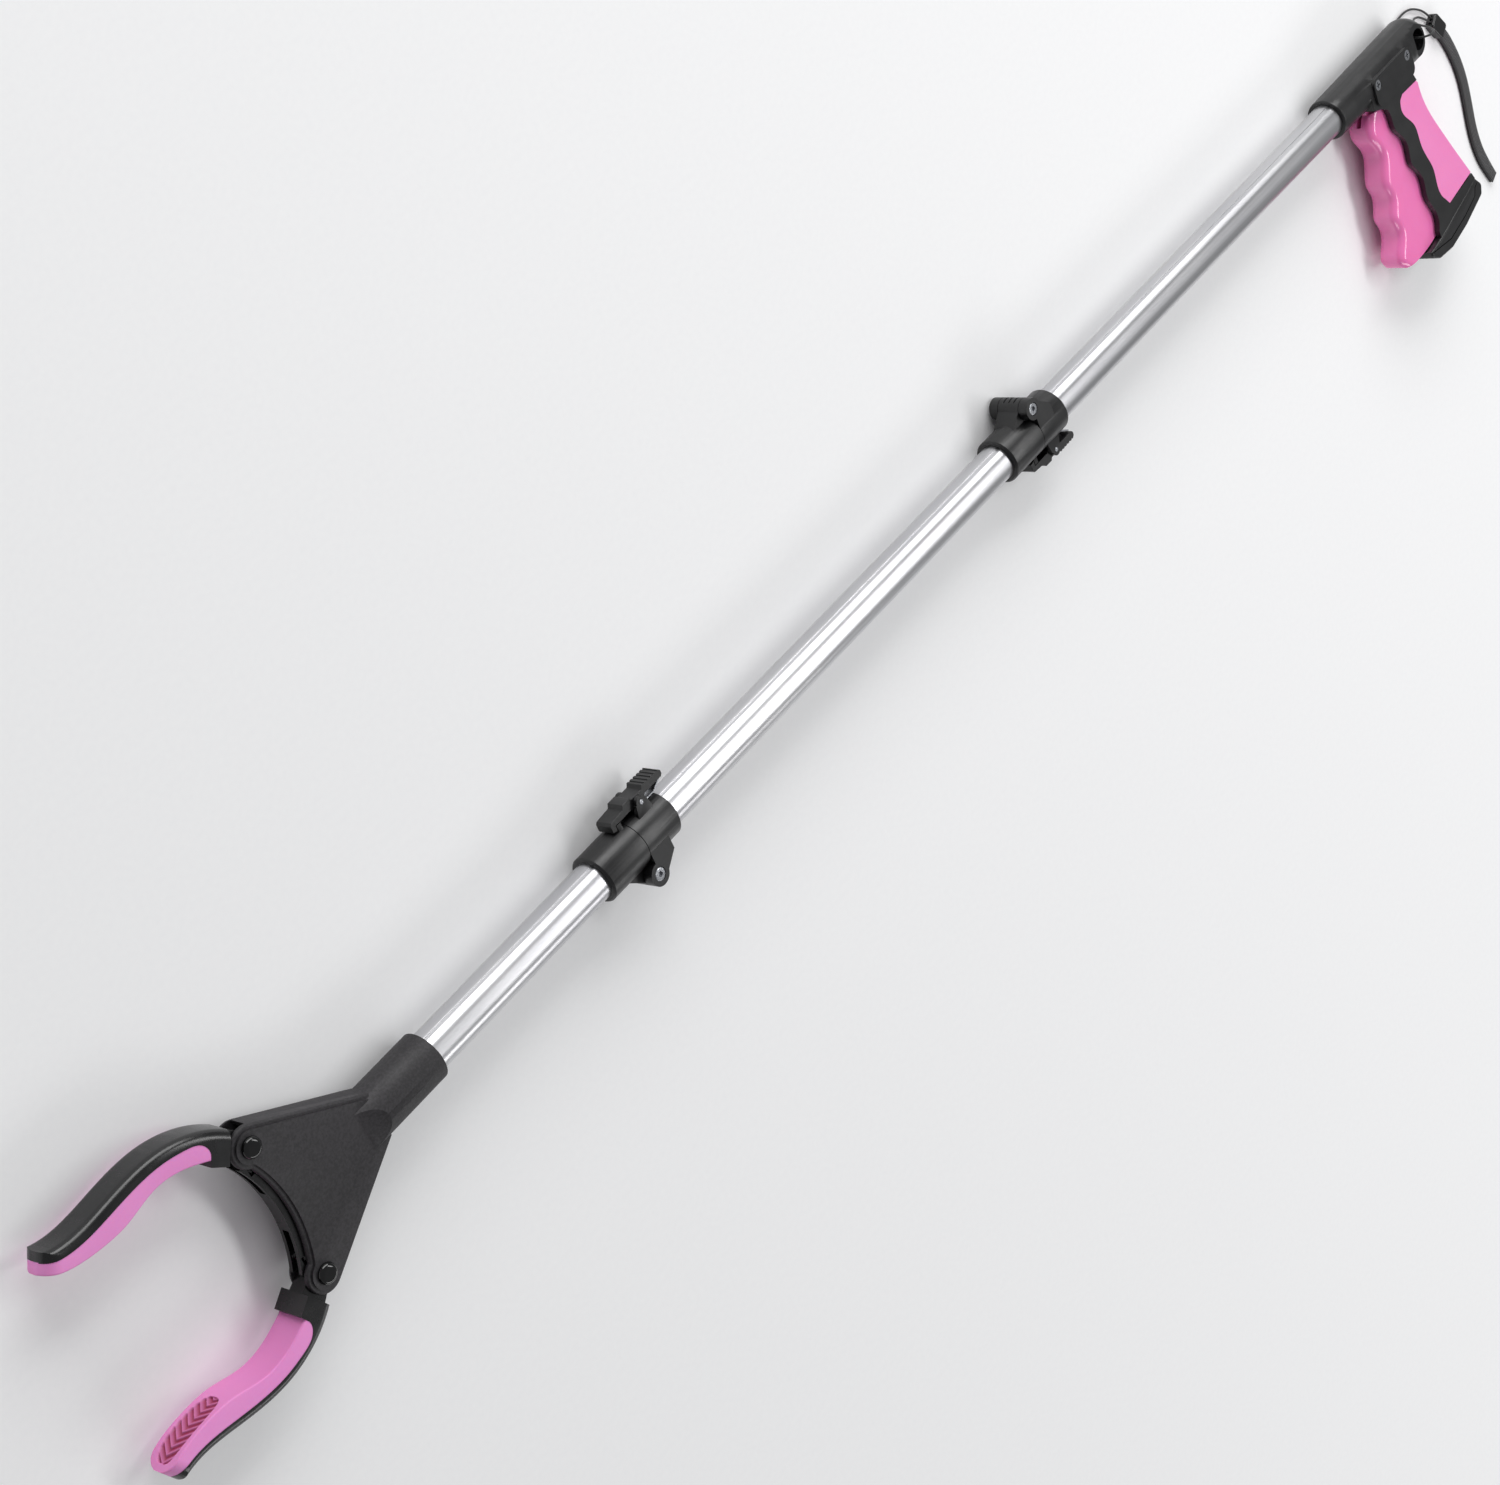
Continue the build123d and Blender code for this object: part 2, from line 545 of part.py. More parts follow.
def yoke():
    """Slider that the cable pulls, with a slot for each jaw's horn pin."""
    pin_y = JAW_Y - HORN_R
    arm = HORN_PIN_D / 2 + SLOT_PLAY + 1.4
    end_y = JAW_Y - JAW_EYE_R - 0.5
    arc_x = JAW_X - HEAD_ARC_SET + HEAD_ARC_R
    front_r = arc_x - YOKE_FRONT_X
    half = PLATE_HALF - PLATE_WALL - SIDE_GAP
    with BuildPart() as slider:
        with BuildSketch(level(-half)):
            with Locations((arc_x, 0)):
                Circle(front_r + 2 * arm)
                Circle(front_r, mode=Mode.SUBTRACT)
            with Locations((YOKE_X, 0)):
                Rectangle(40, 2 * end_y, mode=Mode.INTERSECT)
            with Locations(((YOKE_HUB_X0 + YOKE_FRONT_X) / 2, 0)):
                Rectangle(YOKE_FRONT_X - YOKE_HUB_X0, 18)
        extrude(amount=2 * half)
        with BuildSketch(level(-HORN_HALF - SIDE_GAP)):
            with Locations((YOKE_X, 25), (YOKE_X, -25)):
                Rectangle(30, 30)
        extrude(amount=2 * (HORN_HALF + SIDE_GAP), mode=Mode.SUBTRACT)
        with BuildSketch(level(-half)):
            with Locations((YOKE_X, pin_y), (YOKE_X, -pin_y)):
                Rectangle(HORN_PIN_D + 2 * SLOT_PLAY, HORN_PIN_D + 1.6)
        extrude(amount=2 * half, mode=Mode.SUBTRACT)
        bore(YOKE_HUB_X0, YOKE_HUB_X1, CABLE_D / 2 + RUN_FIT)
        bore(YOKE_HUB_X1 - 4, YOKE_HUB_X1, FERRULE_D / 2 + RUN_FIT)
    return slider


def return_spring():
    """Coil that pushes the yoke forwards and so opens the jaws."""
    length = YOKE_HUB_X0 - SPRING_X0 - 1.2 * SPRING_WIRE
    start = SPRING_X0 + 0.6 * SPRING_WIRE
    with BuildPart() as coil:
        with BuildLine() as path:
            Helix(pitch=length / SPRING_TURNS, height=length, radius=SPRING_R, center=(start, 0, AXIS_Z),
                  direction=(1, 0, 0))
        with BuildSketch(Plane(origin=path.line @ 0, z_dir=path.line % 0)):
            Circle(SPRING_WIRE / 2)
        sweep(is_frenet=True)
    return coil




def jaw_plane(name, z):
    """Plane at a jaw's rivet whose own x is the jaw's long way when shut."""
    side = 1 if name == "b" else -1
    turn = radians(JAW_OPEN[name])
    along = (cos(turn), side * sin(turn), 0)
    return Plane(origin=(JAW_X, side * JAW_Y, AXIS_Z + z), x_dir=along, z_dir=(0, 0, 1))


def round_tip(name):
    """Keep what is inside a tongue with a rounded end, as wide as the jaw."""
    base = jaw_plane(name, 0)
    middle = base.from_local_coords((JAW_TIP / 2, 0, 0))
    with BuildSketch(Plane(origin=middle, x_dir=base.x_dir, z_dir=base.y_dir)) as tongue:
        RectangleRounded(JAW_TIP, 2 * JAW_HALF, JAW_TIP_ROUND)
        with Locations((-JAW_TIP / 4, 0)):
            Rectangle(JAW_TIP / 2, 2 * JAW_HALF)
    extrude(tongue.sketch, amount=2 * JAW_SPACING, both=True, mode=Mode.INTERSECT)


def magnet_plane(name, depth):
    side = 1 if name == "b" else -1
    base = jaw_plane(name, 0)
    lean = radians(MAGNET_LEAN)
    out = (cos(lean), side * sin(lean), 0)
    spot = (MAGNET_AT[0] - depth * out[0], side * MAGNET_AT[1] - depth * out[1], 0)
    heading = base.from_local_coords((out[0], out[1], 0)) - base.origin
    return Plane(origin=base.from_local_coords(spot), x_dir=(0, 0, 1), z_dir=heading)


def jaw(name):
    """Curved arm with its eye, horn and horn pin."""
    side = 1 if name == "b" else -1
    eye_half = PLATE_HALF - PLATE_WALL - 0.2
    outer = flip(JAW_OUTER, side)
    parting = flip(JAW_PARTING, side)
    root = flip(JAW_ROOT, side)
    arm = flip([(0, JAW_EYE_R), (12, 8.4), (12, -5.2), (0, -JAW_EYE_R)], side)
    pin_x, pin_y = HORN_PIN
    horn = flip([(-2.4, 0), (pin_x - 2.6, pin_y), (pin_x + 2.6, pin_y), (3.2, 0)], side)
    pin = (pin_x, side * pin_y)
    with BuildPart() as arm_part:
        with BuildSketch(jaw_plane(name, -JAW_HALF)):
            with BuildLine():
                Spline(*outer)
                Line(outer[-1], parting[-1])
                Spline(*parting)
                Polyline(*root)
            make_face()
        extrude(amount=2 * JAW_HALF)
        long_edges = arm_part.edges().filter_by(GeomType.BSPLINE).group_by(SortBy.LENGTH)[-1]
        fillet(long_edges, JAW_ROUND)
        round_tip(name)
        with BuildSketch(jaw_plane(name, -eye_half)):
            Circle(JAW_EYE_R)
            Polygon(*arm, align=None)
        extrude(amount=2 * eye_half)
        with BuildSketch(jaw_plane(name, -HORN_HALF)):
            Polygon(*horn, align=None)
            with Locations(pin):
                Circle(2.6)
        extrude(amount=2 * HORN_HALF)
        with BuildSketch(jaw_plane(name, -PLATE_HALF + PLATE_WALL + 0.4)):
            with Locations(pin):
                Circle(HORN_PIN_D / 2)
        extrude(amount=2 * (PLATE_HALF - PLATE_WALL - 0.4))
        drill(JAW_X, side * JAW_Y, RIVET_D / 2 + RUN_FIT)
        if name == "b":
            with BuildSketch(magnet_plane(name, MAGNET_H - 0.5)):
                Circle(MAGNET_D / 2 + TUBE_FIT)
            extrude(amount=5, mode=Mode.SUBTRACT)
    return arm_part


def jaw_pad(name):
    """Soft liner on a jaw's inner side."""
    side = 1 if name == "b" else -1
    parting = flip(JAW_PARTING, side)
    inner = flip(PAD_INNER, side)
    with BuildPart() as pad:
        with BuildSketch(jaw_plane(name, -JAW_HALF)):
            with BuildLine():
                Spline(*parting)
                Line(parting[-1], inner[-1])
                Spline(*inner)
                Line(inner[0], parting[0])
            make_face()
        extrude(amount=2 * JAW_HALF)
        round_tip(name)
    return pad


def magnet():
    with BuildPart() as disc:
        with BuildSketch(magnet_plane("b", MAGNET_H - 0.5)):
            Circle(MAGNET_D / 2)
        extrude(amount=MAGNET_H)
    return disc


# ---- handle ----------------------------------------------------------------


def round_trigger_pivot(x, radius):
    """Point on a circle round the trigger's pivot, on its far side."""
    return (x, PIVOT_Y + sqrt(radius ** 2 - (x - PIVOT_X) ** 2))


CAP_STEP = round_trigger_pivot(CAP_STEP_X, CAP_R)


def grip_outline(inset, mode=Mode.ADD):
    """Side view of the whole grip down to the butt cap, its back moved in by inset."""
    back = [(x + inset, y) for x, y in GRIP_BACK]
    with BuildLine() as outline:
        Spline(*GRIP_FRONT)
        Polyline(GRIP_FRONT[-1], CAP_STEP, (CAP_BACK[0] + inset, CAP_BACK[1]), back[-1])
        Spline(*back)
        Polyline(back[0], (back[0][0] + 2.3, 12.5), (back[0][0] + 2.3, 2), (26, 2), (26, 11.0), (19, 13.4),
                 GRIP_FRONT[0])
    make_face(outline.edges(), mode=mode)


def insert_outline(outset):
    """Side view of the soft insert, its back moved out by outset."""
    back = [(x - outset, y) for x, y in GRIP_BACK]
    with BuildLine() as outline:
        Spline(*INSERT_LINE)
        Polyline(INSERT_LINE[-1], (-21.0, 95.8), back[-1])
        Spline(*back)
        Polyline(back[0], (back[0][0] + outset + 1.5, 16.8), (-4.0, 16.4), INSERT_LINE[0])
    make_face(outline.edges())


def hollow_outline():
    """Side view of the room that the trigger moves in."""
    back = [(x + SKIN + GRIP_WALL, y) for x, y in GRIP_BACK]
    with BuildLine() as outline:
        Spline(*back)
        Polyline(back[-1], (CAP_BACK[0] + SKIN + GRIP_WALL, CAP_BACK[1] + 6), (CAP_STEP[0], CAP_STEP[1] + 1),
                 (45, CAP_STEP[1]), (45, 14.0), (16.5, 14.0), (14.0, 11.5), (14.0, 4.0), (back[0][0], 4.0),
                 back[0])
    make_face(outline.edges())


def handle_shell(side):
    """Upper (side 1) or lower (side -1) half of the handle, parted at the middle plane."""
    boss_r = SCREW_D / 2 + 1.8
    with BuildPart() as shell:
        # barrel with its round rear end
        with BuildSketch(upright(0, 0)):
            with BuildLine():
                Polyline((EYE_X, 0), (SOCKET_RIM_X, 0), (SOCKET_RIM_X, BARREL_RIM_R), (EYE_X, BARREL_R))
                ThreePointArc((EYE_X, BARREL_R), (EYE_X - (EYE_X - BARREL_END_X) * 0.72, BARREL_R * 0.70),
                              (BARREL_END_X, 0))
                Line((BARREL_END_X, 0), (EYE_X, 0))
            make_face()
        revolve(axis=Axis((0, 0, AXIS_Z), (1, 0, 0)))
        fillet(shell.edges().filter_by(GeomType.CIRCLE).group_by(Axis.X)[-1], 1.0)
        # grip
        with BuildSketch(level(-GRIP_HALF)):
            grip_outline(0)
        extrude(amount=2 * GRIP_HALF)
        # flat cheeks round the screws
        with BuildSketch(level(-CHEEK_HALF)):
            with Locations(((PIVOT_X + REAR_SCREW_X) / 2, 3.0)):
                RectangleRounded(PIVOT_X - REAR_SCREW_X + 9, 17, 4.5)
        extrude(amount=2 * CHEEK_HALF)
        # keep one half
        with BuildSketch(level(0)):
            Rectangle(600, 600)
        extrude(amount=-side * 60, mode=Mode.SUBTRACT)
        # step for the soft insert, on the face and round the back
        with BuildSketch(level(side * (GRIP_HALF - SKIN))):
            insert_outline(10)
        extrude(amount=side * 20, mode=Mode.SUBTRACT)
        with BuildSketch(level(0)):
            insert_outline(10)
            grip_outline(SKIN, mode=Mode.SUBTRACT)
        extrude(amount=side * 20, mode=Mode.SUBTRACT)
        # hollow grip, barrel cavity and tube seat
        with BuildSketch(level(0)):
            hollow_outline()
        extrude(amount=side * HOLLOW_HALF, mode=Mode.SUBTRACT)
        with BuildSketch(level(0)):
            with Locations((19.0, 10.0)):
                Rectangle(22.0, 14.0)
        extrude(amount=side * (ARM_HALF + SIDE_GAP), mode=Mode.SUBTRACT)
        with BuildSketch(level(0)):
            with Locations((30.0, 10.0)):
                Rectangle(18.0, 14.0)
        extrude(amount=side * (LINK_HALF + 2 * SIDE_GAP), mode=Mode.SUBTRACT)
        bore(CAVITY_X0, SOCKET_RIM_X, CAVITY_R)
        bore(SOCKET_RIM_X - SOCKET_DEPTH, SOCKET_RIM_X, TUBE_R + TUBE_FIT)
        # screw bosses
        for x, z0 in ((PIVOT_X, ARM_HALF + SIDE_GAP), (REAR_SCREW_X, 0)):
            with BuildSketch(level(side * z0)):
                with Locations((x, PIVOT_Y)):
                    Circle(boss_r)
            extrude(amount=side * (CAVITY_R + 0.5 - z0))
        for x in (PIVOT_X, REAR_SCREW_X):
            if side > 0:
                drill(x, PIVOT_Y, SCREW_D / 2 + TUBE_FIT)
                drill(x, PIVOT_Y, SCREW_HEAD_D / 2 + TUBE_FIT, CHEEK_HALF - SCREW_HEAD_H, CHEEK_HALF + 1)
            else:
                drill(x, PIVOT_Y, SCREW_D / 2 + TUBE_FIT, -SCREW_TIP, 0)
        # hanging eye with its dished rim
        drill(EYE_X, 0, EYE_D / 2)
        with BuildSketch(level(side * EYE_HALF)):
            with Locations((EYE_X, 0)):
                Circle(EYE_D / 2 + EYE_RIM - 0.6)
        extrude(amount=side * 20, mode=Mode.SUBTRACT)
    return shell


def handle_screws():
    """Two shell screws; the trigger turns on the front one."""
    with BuildPart() as screws:
        for x in (PIVOT_X, REAR_SCREW_X):
            with BuildSketch(level(-SCREW_TIP + 0.2)):
                with Locations((x, PIVOT_Y)):
                    Circle(SCREW_D / 2)
            extrude(amount=SCREW_TIP - 0.2 + CHEEK_HALF - SCREW_HEAD_H)
            with BuildSketch(level(CHEEK_HALF - SCREW_HEAD_H)):
                with Locations((x, PIVOT_Y)):
                    Circle(SCREW_HEAD_D / 2)
            extrude(amount=SCREW_HEAD_H - 0.2)
            with BuildSketch(level(CHEEK_HALF - 1.0)):
                with Locations((x, PIVOT_Y)):
                    Rectangle(3.6, 0.8)
                    Rectangle(0.8, 3.6)
            extrude(amount=2, mode=Mode.SUBTRACT)
    return screws


def grip_insert():
    """Soft insert that wraps the back of the grip."""
    with BuildPart() as skin:
        with BuildSketch(level(-GRIP_HALF)):
            insert_outline(0)
        extrude(amount=2 * GRIP_HALF)
        with BuildSketch(level(-GRIP_HALF + SKIN)):
            grip_outline(SKIN)
        extrude(amount=2 * (GRIP_HALF - SKIN), mode=Mode.SUBTRACT)
    return skin


def butt_cap():
    """Foot of the grip, with a lip under the trigger."""
    front = round_trigger_pivot(CAP_FRONT_X, CAP_R)
    middle = round_trigger_pivot((CAP_FRONT_X + CAP_STEP_X) / 2, CAP_R)
    with BuildPart() as cap:
        with BuildSketch(level(-GRIP_HALF - 0.6)):
            with BuildLine():
                ThreePointArc(front, middle, CAP_STEP)
                Line(CAP_STEP, CAP_BACK)
                FilletPolyline(CAP_BACK, *CAP_OUTER, front, radius=CAP_ROUND)
            make_face()
        extrude(amount=2 * (GRIP_HALF + 0.6))
        fillet(cap.faces().filter_by(Axis.Z).edges().filter_by(lambda e: e.center().Y > 108.6), 1.6)
        with BuildSketch(level(-2 * GRIP_HALF)):
            with BuildLine():
                Polyline(*CAP_GROOVE)
            trace(line_width=CAP_GROOVE_W)
        extrude(amount=GRIP_HALF + 0.6 + CAP_GROOVE_W, mode=Mode.SUBTRACT)
        with BuildSketch(level(GRIP_HALF + 0.6 - CAP_GROOVE_W)):
            with BuildLine():
                Polyline(*CAP_GROOVE)
            trace(line_width=CAP_GROOVE_W)
        extrude(amount=GRIP_HALF, mode=Mode.SUBTRACT)
    return cap


def trigger():
    """Finger lever with four grooves, its forked arm and the pin for the pull link."""
    foot_r = CAP_R - CAP_GAP
    foot = [round_trigger_pivot(x, foot_r) for x in (30.0, 12.0, -7.0)]
    rear = TRIGGER_REAR[::-1]
    slot = [(3, 24), (8, 26.5), (20, 26.5), (38, 12), (38, 0), (26, 0), (5, 12)]
    with BuildPart() as lever:
        with BuildSketch(level(-TRIGGER_HALF)):
            with BuildLine():
                Spline(*TRIGGER_FRONT)
                Line(TRIGGER_FRONT[-1], foot[0])
                ThreePointArc(*foot)
                Line(foot[-1], rear[0])
                Spline(*rear)
                Line(rear[-1], TRIGGER_FRONT[0])
            make_face()
        extrude(amount=2 * TRIGGER_HALF)
        front_edges = lever.edges().filter_by(GeomType.BSPLINE).group_by(lambda e: e.center().X)[-1]
        fillet(front_edges, TRIGGER_ROUND)
        with BuildSketch(level(-ARM_HALF)):
            with Locations((PIVOT_X, PIVOT_Y)):
                Circle(4.6)
            Polygon((PIVOT_X - 4.6, PIVOT_Y), (PIVOT_X + 4.6, PIVOT_Y), (24.0, 16.5), (9.0, 16.5), align=None)
        extrude(amount=2 * ARM_HALF)
        with BuildSketch(level(-LINK_HALF - 0.5)):
            Polygon(*slot, align=None)
        extrude(amount=2 * (LINK_HALF + 0.5), mode=Mode.SUBTRACT)
        with BuildSketch(level(-LINK_HALF - 1)):
            with Locations((LINK_X, LINK_Y)):
                Circle(LINK_PIN_R)
        extrude(amount=2 * (LINK_HALF + 1))
        drill(PIVOT_X, PIVOT_Y, SCREW_D / 2 + RUN_FIT)
    return lever


def pull_link():
    """Flat steel link from the trigger's pin to the cable's ferrule."""
    turn = degrees(atan2(-LINK_Y, FERRULE_X - LINK_X))
    length = hypot(FERRULE_X - LINK_X, LINK_Y)
    with BuildPart() as link:
        with BuildSketch(level(-LINK_HALF)):
            with Locations((LINK_X, LINK_Y)):
                Circle(3.1)
            with Locations((FERRULE_X, 0)):
                Circle(1.7)
            with Locations(((LINK_X + FERRULE_X) / 2, LINK_Y / 2)):
                Rectangle(length, 2.6, rotation=turn)
            with Locations((LINK_X, LINK_Y)):
                Circle(LINK_PIN_R + 0.6, mode=Mode.SUBTRACT)
            with Locations((FERRULE_X, 0)):
                Circle(FERRULE_PIN_R + RUN_FIT, mode=Mode.SUBTRACT)
        extrude(amount=2 * LINK_HALF)
    return link


# ---- wrist strap -------------------------------------------------------------


def corner_radii(points):
    """Radius at each corner: 0.45 of the shorter run over the tangent of half the turn."""
    radii = []
    for a, b, c in zip(points, points[1:], points[2:]):
        first, second = Vector(*b) - Vector(*a), Vector(*c) - Vector(*b)
        half_turn = radians(first.get_angle(second)) / 2
        radii.append(0.45 * min(first.length, second.length) / (sin(half_turn) / cos(half_turn)))
    return radii


def strap_string():
    radii = corner_radii(STRING_ROUTE)
    print("string radii:", [round(r, 1) for r in radii])
    with BuildPart() as string:
        with BuildLine() as path:
            FilletPolyline(*STRING_ROUTE, radius=radii)
        with BuildSketch(Plane(origin=path.line @ 0, z_dir=path.line % 0)):
            Circle(STRING_D / 2)
        sweep()
    return string


def strap_clamp():
    """Moulded clamp where the string meets the webbing."""
    turn = degrees(atan2(CLAMP_END[1] - CLAMP_START[1], CLAMP_END[0] - CLAMP_START[0]))
    middle = ((CLAMP_START[0] + CLAMP_END[0]) / 2, (CLAMP_START[1] + CLAMP_END[1]) / 2)
    with BuildPart() as clamp:
        with BuildSketch(Plane.XY):
            with Locations(middle):
                RectangleRounded(CLAMP_LENGTH - 0.5, CLAMP_WIDTH, 2.2, rotation=turn)
        extrude(amount=CLAMP_H)
        fillet(clamp.faces().sort_by(Axis.Z)[-1].edges(), 1.2)
        with BuildSketch(Plane.XY):
            with Locations(CLAMP_END):
                Rectangle(6.0, WEB_WIDTH + 0.1, rotation=turn)
        extrude(amount=WEB_THICK + 0.05, mode=Mode.SUBTRACT)
        with BuildSketch(Plane.XY.offset(STRING_ROUTE[0][2] - STRING_D / 2 - TUBE_FIT)):
            with Locations(CLAMP_START):
                Rectangle(6.0, 6.0, rotation=turn)
        extrude(amount=STRING_D + 2 * TUBE_FIT, mode=Mode.SUBTRACT)
    return clamp


def strap_webbing():
    """Doubled webbing, lying flat."""
    radii = corner_radii(WEB_ROUTE)
    print("webbing radii:", [round(r, 1) for r in radii])
    with BuildPart() as webbing:
        with BuildSketch(Plane.XY):
            with BuildLine():
                FilletPolyline(*WEB_ROUTE, radius=radii)
            trace(line_width=WEB_WIDTH)
        extrude(amount=WEB_THICK)
    return webbing


# ---- build and write -----------------------------------------------------------
os.makedirs("parts", exist_ok=True)

save(handle_shell(1), "handle_shell_upper")
save(handle_shell(-1), "handle_shell_lower")
save(handle_screws(), "handle_screws")
save(grip_insert(), "grip_insert")
save(butt_cap(), "butt_cap")
save(trigger(), "trigger")
save(pull_link(), "pull_link")

save(tube(SOCKET_RIM_X - SOCKET_DEPTH, HINGE_1_X - COLLAR_FLOOR), "upper_tube")
save(tube(HINGE_1_X + COLLAR_FLOOR, HINGE_2_X - COLLAR_FLOOR), "middle_tube")
save(tube(HINGE_2_X + COLLAR_FLOOR, NECK_X + TUBE_IN_NECK), "lower_tube")
for number, hinge_x, side in ((1, HINGE_1_X, -1), (2, HINGE_2_X, 1)):
    save(rear_collar(hinge_x, side), f"rear_collar_{number}")
    save(front_collar(hinge_x, side), f"front_collar_{number}")
    save(fold_screw(hinge_x, side), f"fold_screw_{number}")
    save(fold_nut(hinge_x, side), f"fold_nut_{number}")
    save(latch_lever(hinge_x, side), f"latch_lever_{number}")
    save(latch_pin(hinge_x, side), f"latch_pin_{number}")
    save(latch_spring(hinge_x, side), f"latch_spring_{number}")
save(cable_with_ferrule(HINGE_1_X - 0.5), "cable_upper")
save(cable(HINGE_1_X + 0.5, HINGE_2_X - 0.5), "cable_middle")
save(cable(HINGE_2_X + 0.5, YOKE_HUB_X1 - 4), "cable_lower")
save(cable(YOKE_HUB_X1 - 4, YOKE_HUB_X1 - 0.5, FERRULE_D / 2), "cable_ferrule")

save(swivel_bush(), "swivel_bush")
save(head_shell(1), "head_shell_upper")
save(head_shell(-1), "head_shell_lower")
save(jaw_rivets(), "jaw_rivets")
save(yoke(), "yoke")
save(return_spring(), "return_spring")
for name in ("a", "b"):
    save(jaw(name), f"jaw_{name}")
    save(jaw_pad(name), f"jaw_pad_{name}")
save(magnet(), "magnet")

save(strap_string(), "strap_string")
save(strap_clamp(), "strap_clamp")
save(strap_webbing(), "strap_webbing")
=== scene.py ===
import json
from math import cos, pi, radians, sin

import bmesh
import bpy
import numpy as np
from mathutils import Matrix, Vector


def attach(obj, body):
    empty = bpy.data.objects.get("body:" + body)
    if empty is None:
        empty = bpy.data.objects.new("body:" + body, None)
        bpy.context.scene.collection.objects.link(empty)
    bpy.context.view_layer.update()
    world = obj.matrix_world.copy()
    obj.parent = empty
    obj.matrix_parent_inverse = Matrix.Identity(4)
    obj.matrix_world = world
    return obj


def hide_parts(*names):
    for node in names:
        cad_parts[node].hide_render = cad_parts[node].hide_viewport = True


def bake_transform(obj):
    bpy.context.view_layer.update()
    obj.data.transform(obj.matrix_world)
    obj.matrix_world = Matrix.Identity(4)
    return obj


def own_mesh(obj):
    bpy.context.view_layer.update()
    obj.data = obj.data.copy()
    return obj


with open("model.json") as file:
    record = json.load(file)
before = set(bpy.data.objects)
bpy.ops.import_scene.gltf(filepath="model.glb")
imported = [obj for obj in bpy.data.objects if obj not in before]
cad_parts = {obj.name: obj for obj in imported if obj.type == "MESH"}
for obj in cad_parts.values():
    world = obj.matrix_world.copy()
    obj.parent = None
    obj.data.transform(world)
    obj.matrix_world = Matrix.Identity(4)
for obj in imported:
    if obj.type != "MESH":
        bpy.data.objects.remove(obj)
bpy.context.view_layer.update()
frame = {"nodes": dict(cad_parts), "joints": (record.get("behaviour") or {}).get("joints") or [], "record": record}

MM = 0.001
RECORD = frame["record"]
BODY = {node: body for body, nodes in RECORD["behaviour"]["bodies"].items() for node in nodes}
JOINT = {joint["name"]: joint for joint in frame["joints"]}


# ---- camera ------------------------------------------------------------------
# A long lens above the open side of the jaws, rolled so that the tubes run
# from the bottom left of the frame to the top right.
def make_camera():
    sensor, focal, far_clip = 36.0, 72.1, 50.0
    stands_at = Vector((1.3695, -0.6566, 0.9277))
    heading, climb, roll = radians(138.513), radians(-42.291), radians(96.482)
    data = bpy.data.cameras.new("camera")
    data.sensor_width = sensor
    data.lens = focal
    data.clip_end = far_clip
    camera = bpy.data.objects.new("camera", data)
    bpy.context.scene.collection.objects.link(camera)
    ahead = Vector((cos(climb) * cos(heading), cos(climb) * sin(heading), sin(climb)))
    level_right = ahead.cross(Vector((0, 0, 1))).normalized()
    turn = Matrix.Rotation(-roll, 3, ahead)
    right = turn @ level_right
    up = right.cross(ahead)
    facing = Matrix((right, up, -ahead)).transposed().to_quaternion()
    camera.matrix_world = Matrix.LocRotScale(stands_at, facing, None)
    bpy.context.scene.camera = camera


# ---- materials -----------------------------------------------------------------
def linear(code):
    """An sRGB hex colour as linear red, green, blue, alpha."""
    channels = [int(code[i:i + 2], 16) / 255 for i in (1, 3, 5)]
    return [c / 12.92 if c <= 0.04045 else ((c + 0.055) / 1.055) ** 2.4 for c in channels] + [1.0]


def add(tree, kind, inputs=None, **settings):
    """A node with its settings, and its inputs set or linked."""
    node = tree.nodes.new(kind)
    for name, value in settings.items():
        setattr(node, name, value)
    for socket, value in (inputs or {}).items():
        if isinstance(value, bpy.types.NodeSocket):
            tree.links.new(value, node.inputs[socket])
        else:
            node.inputs[socket].default_value = value
    return node


def start_material(name, **shader):
    """A material, its node tree, its shader and the piece's own coordinates."""
    material = bpy.data.materials.new(name)
    material.use_nodes = True
    tree = material.node_tree
    surface = tree.nodes["Principled BSDF"]
    for socket, value in shader.items():
        surface.inputs[socket.replace("_", " ")].default_value = value
    place = add(tree, "ShaderNodeTexCoord").outputs["Object"]
    return material, tree, surface, place


def noise(tree, place, size_mm, detail=2.0, rough=0.5, stretch=(1, 1, 1)):
    """Noise whose lumps are about size_mm across, stretched along an axis."""
    mapped = add(tree, "ShaderNodeMapping", {"Vector": place, "Scale": stretch})
    return add(tree, "ShaderNodeTexNoise", {"Vector": mapped.outputs[0], "Scale": 1 / (size_mm * MM),
                                            "Detail": detail, "Roughness": rough}).outputs["Fac"]


def spread(tree, value, low, high, start=0.35, end=0.65):
    """value from start to end, spread over low to high."""
    return add(tree, "ShaderNodeMapRange", {"Value": value, "From Min": start, "From Max": end,
                                            "To Min": low, "To Max": high}).outputs["Result"]


def tint(tree, value, first, second):
    """A colour between two hex colours."""
    mix = add(tree, "ShaderNodeMix", {"Factor": value}, data_type="RGBA")
    mix.inputs["A"].default_value = linear(first)
    mix.inputs["B"].default_value = linear(second)
    return mix.outputs["Result"]


def relief(tree, surface, *layers):
    """Bumps one on another: each layer is a height from 0 to 1 and its depth in mm."""
    normal = None
    for height, depth_mm in layers:
        inputs = {"Height": height, "Distance": depth_mm * MM, "Strength": 1.0}
        if normal:
            inputs["Normal"] = normal
        normal = add(tree, "ShaderNodeBump", inputs).outputs["Normal"]
    tree.links.new(normal, surface.inputs["Normal"])


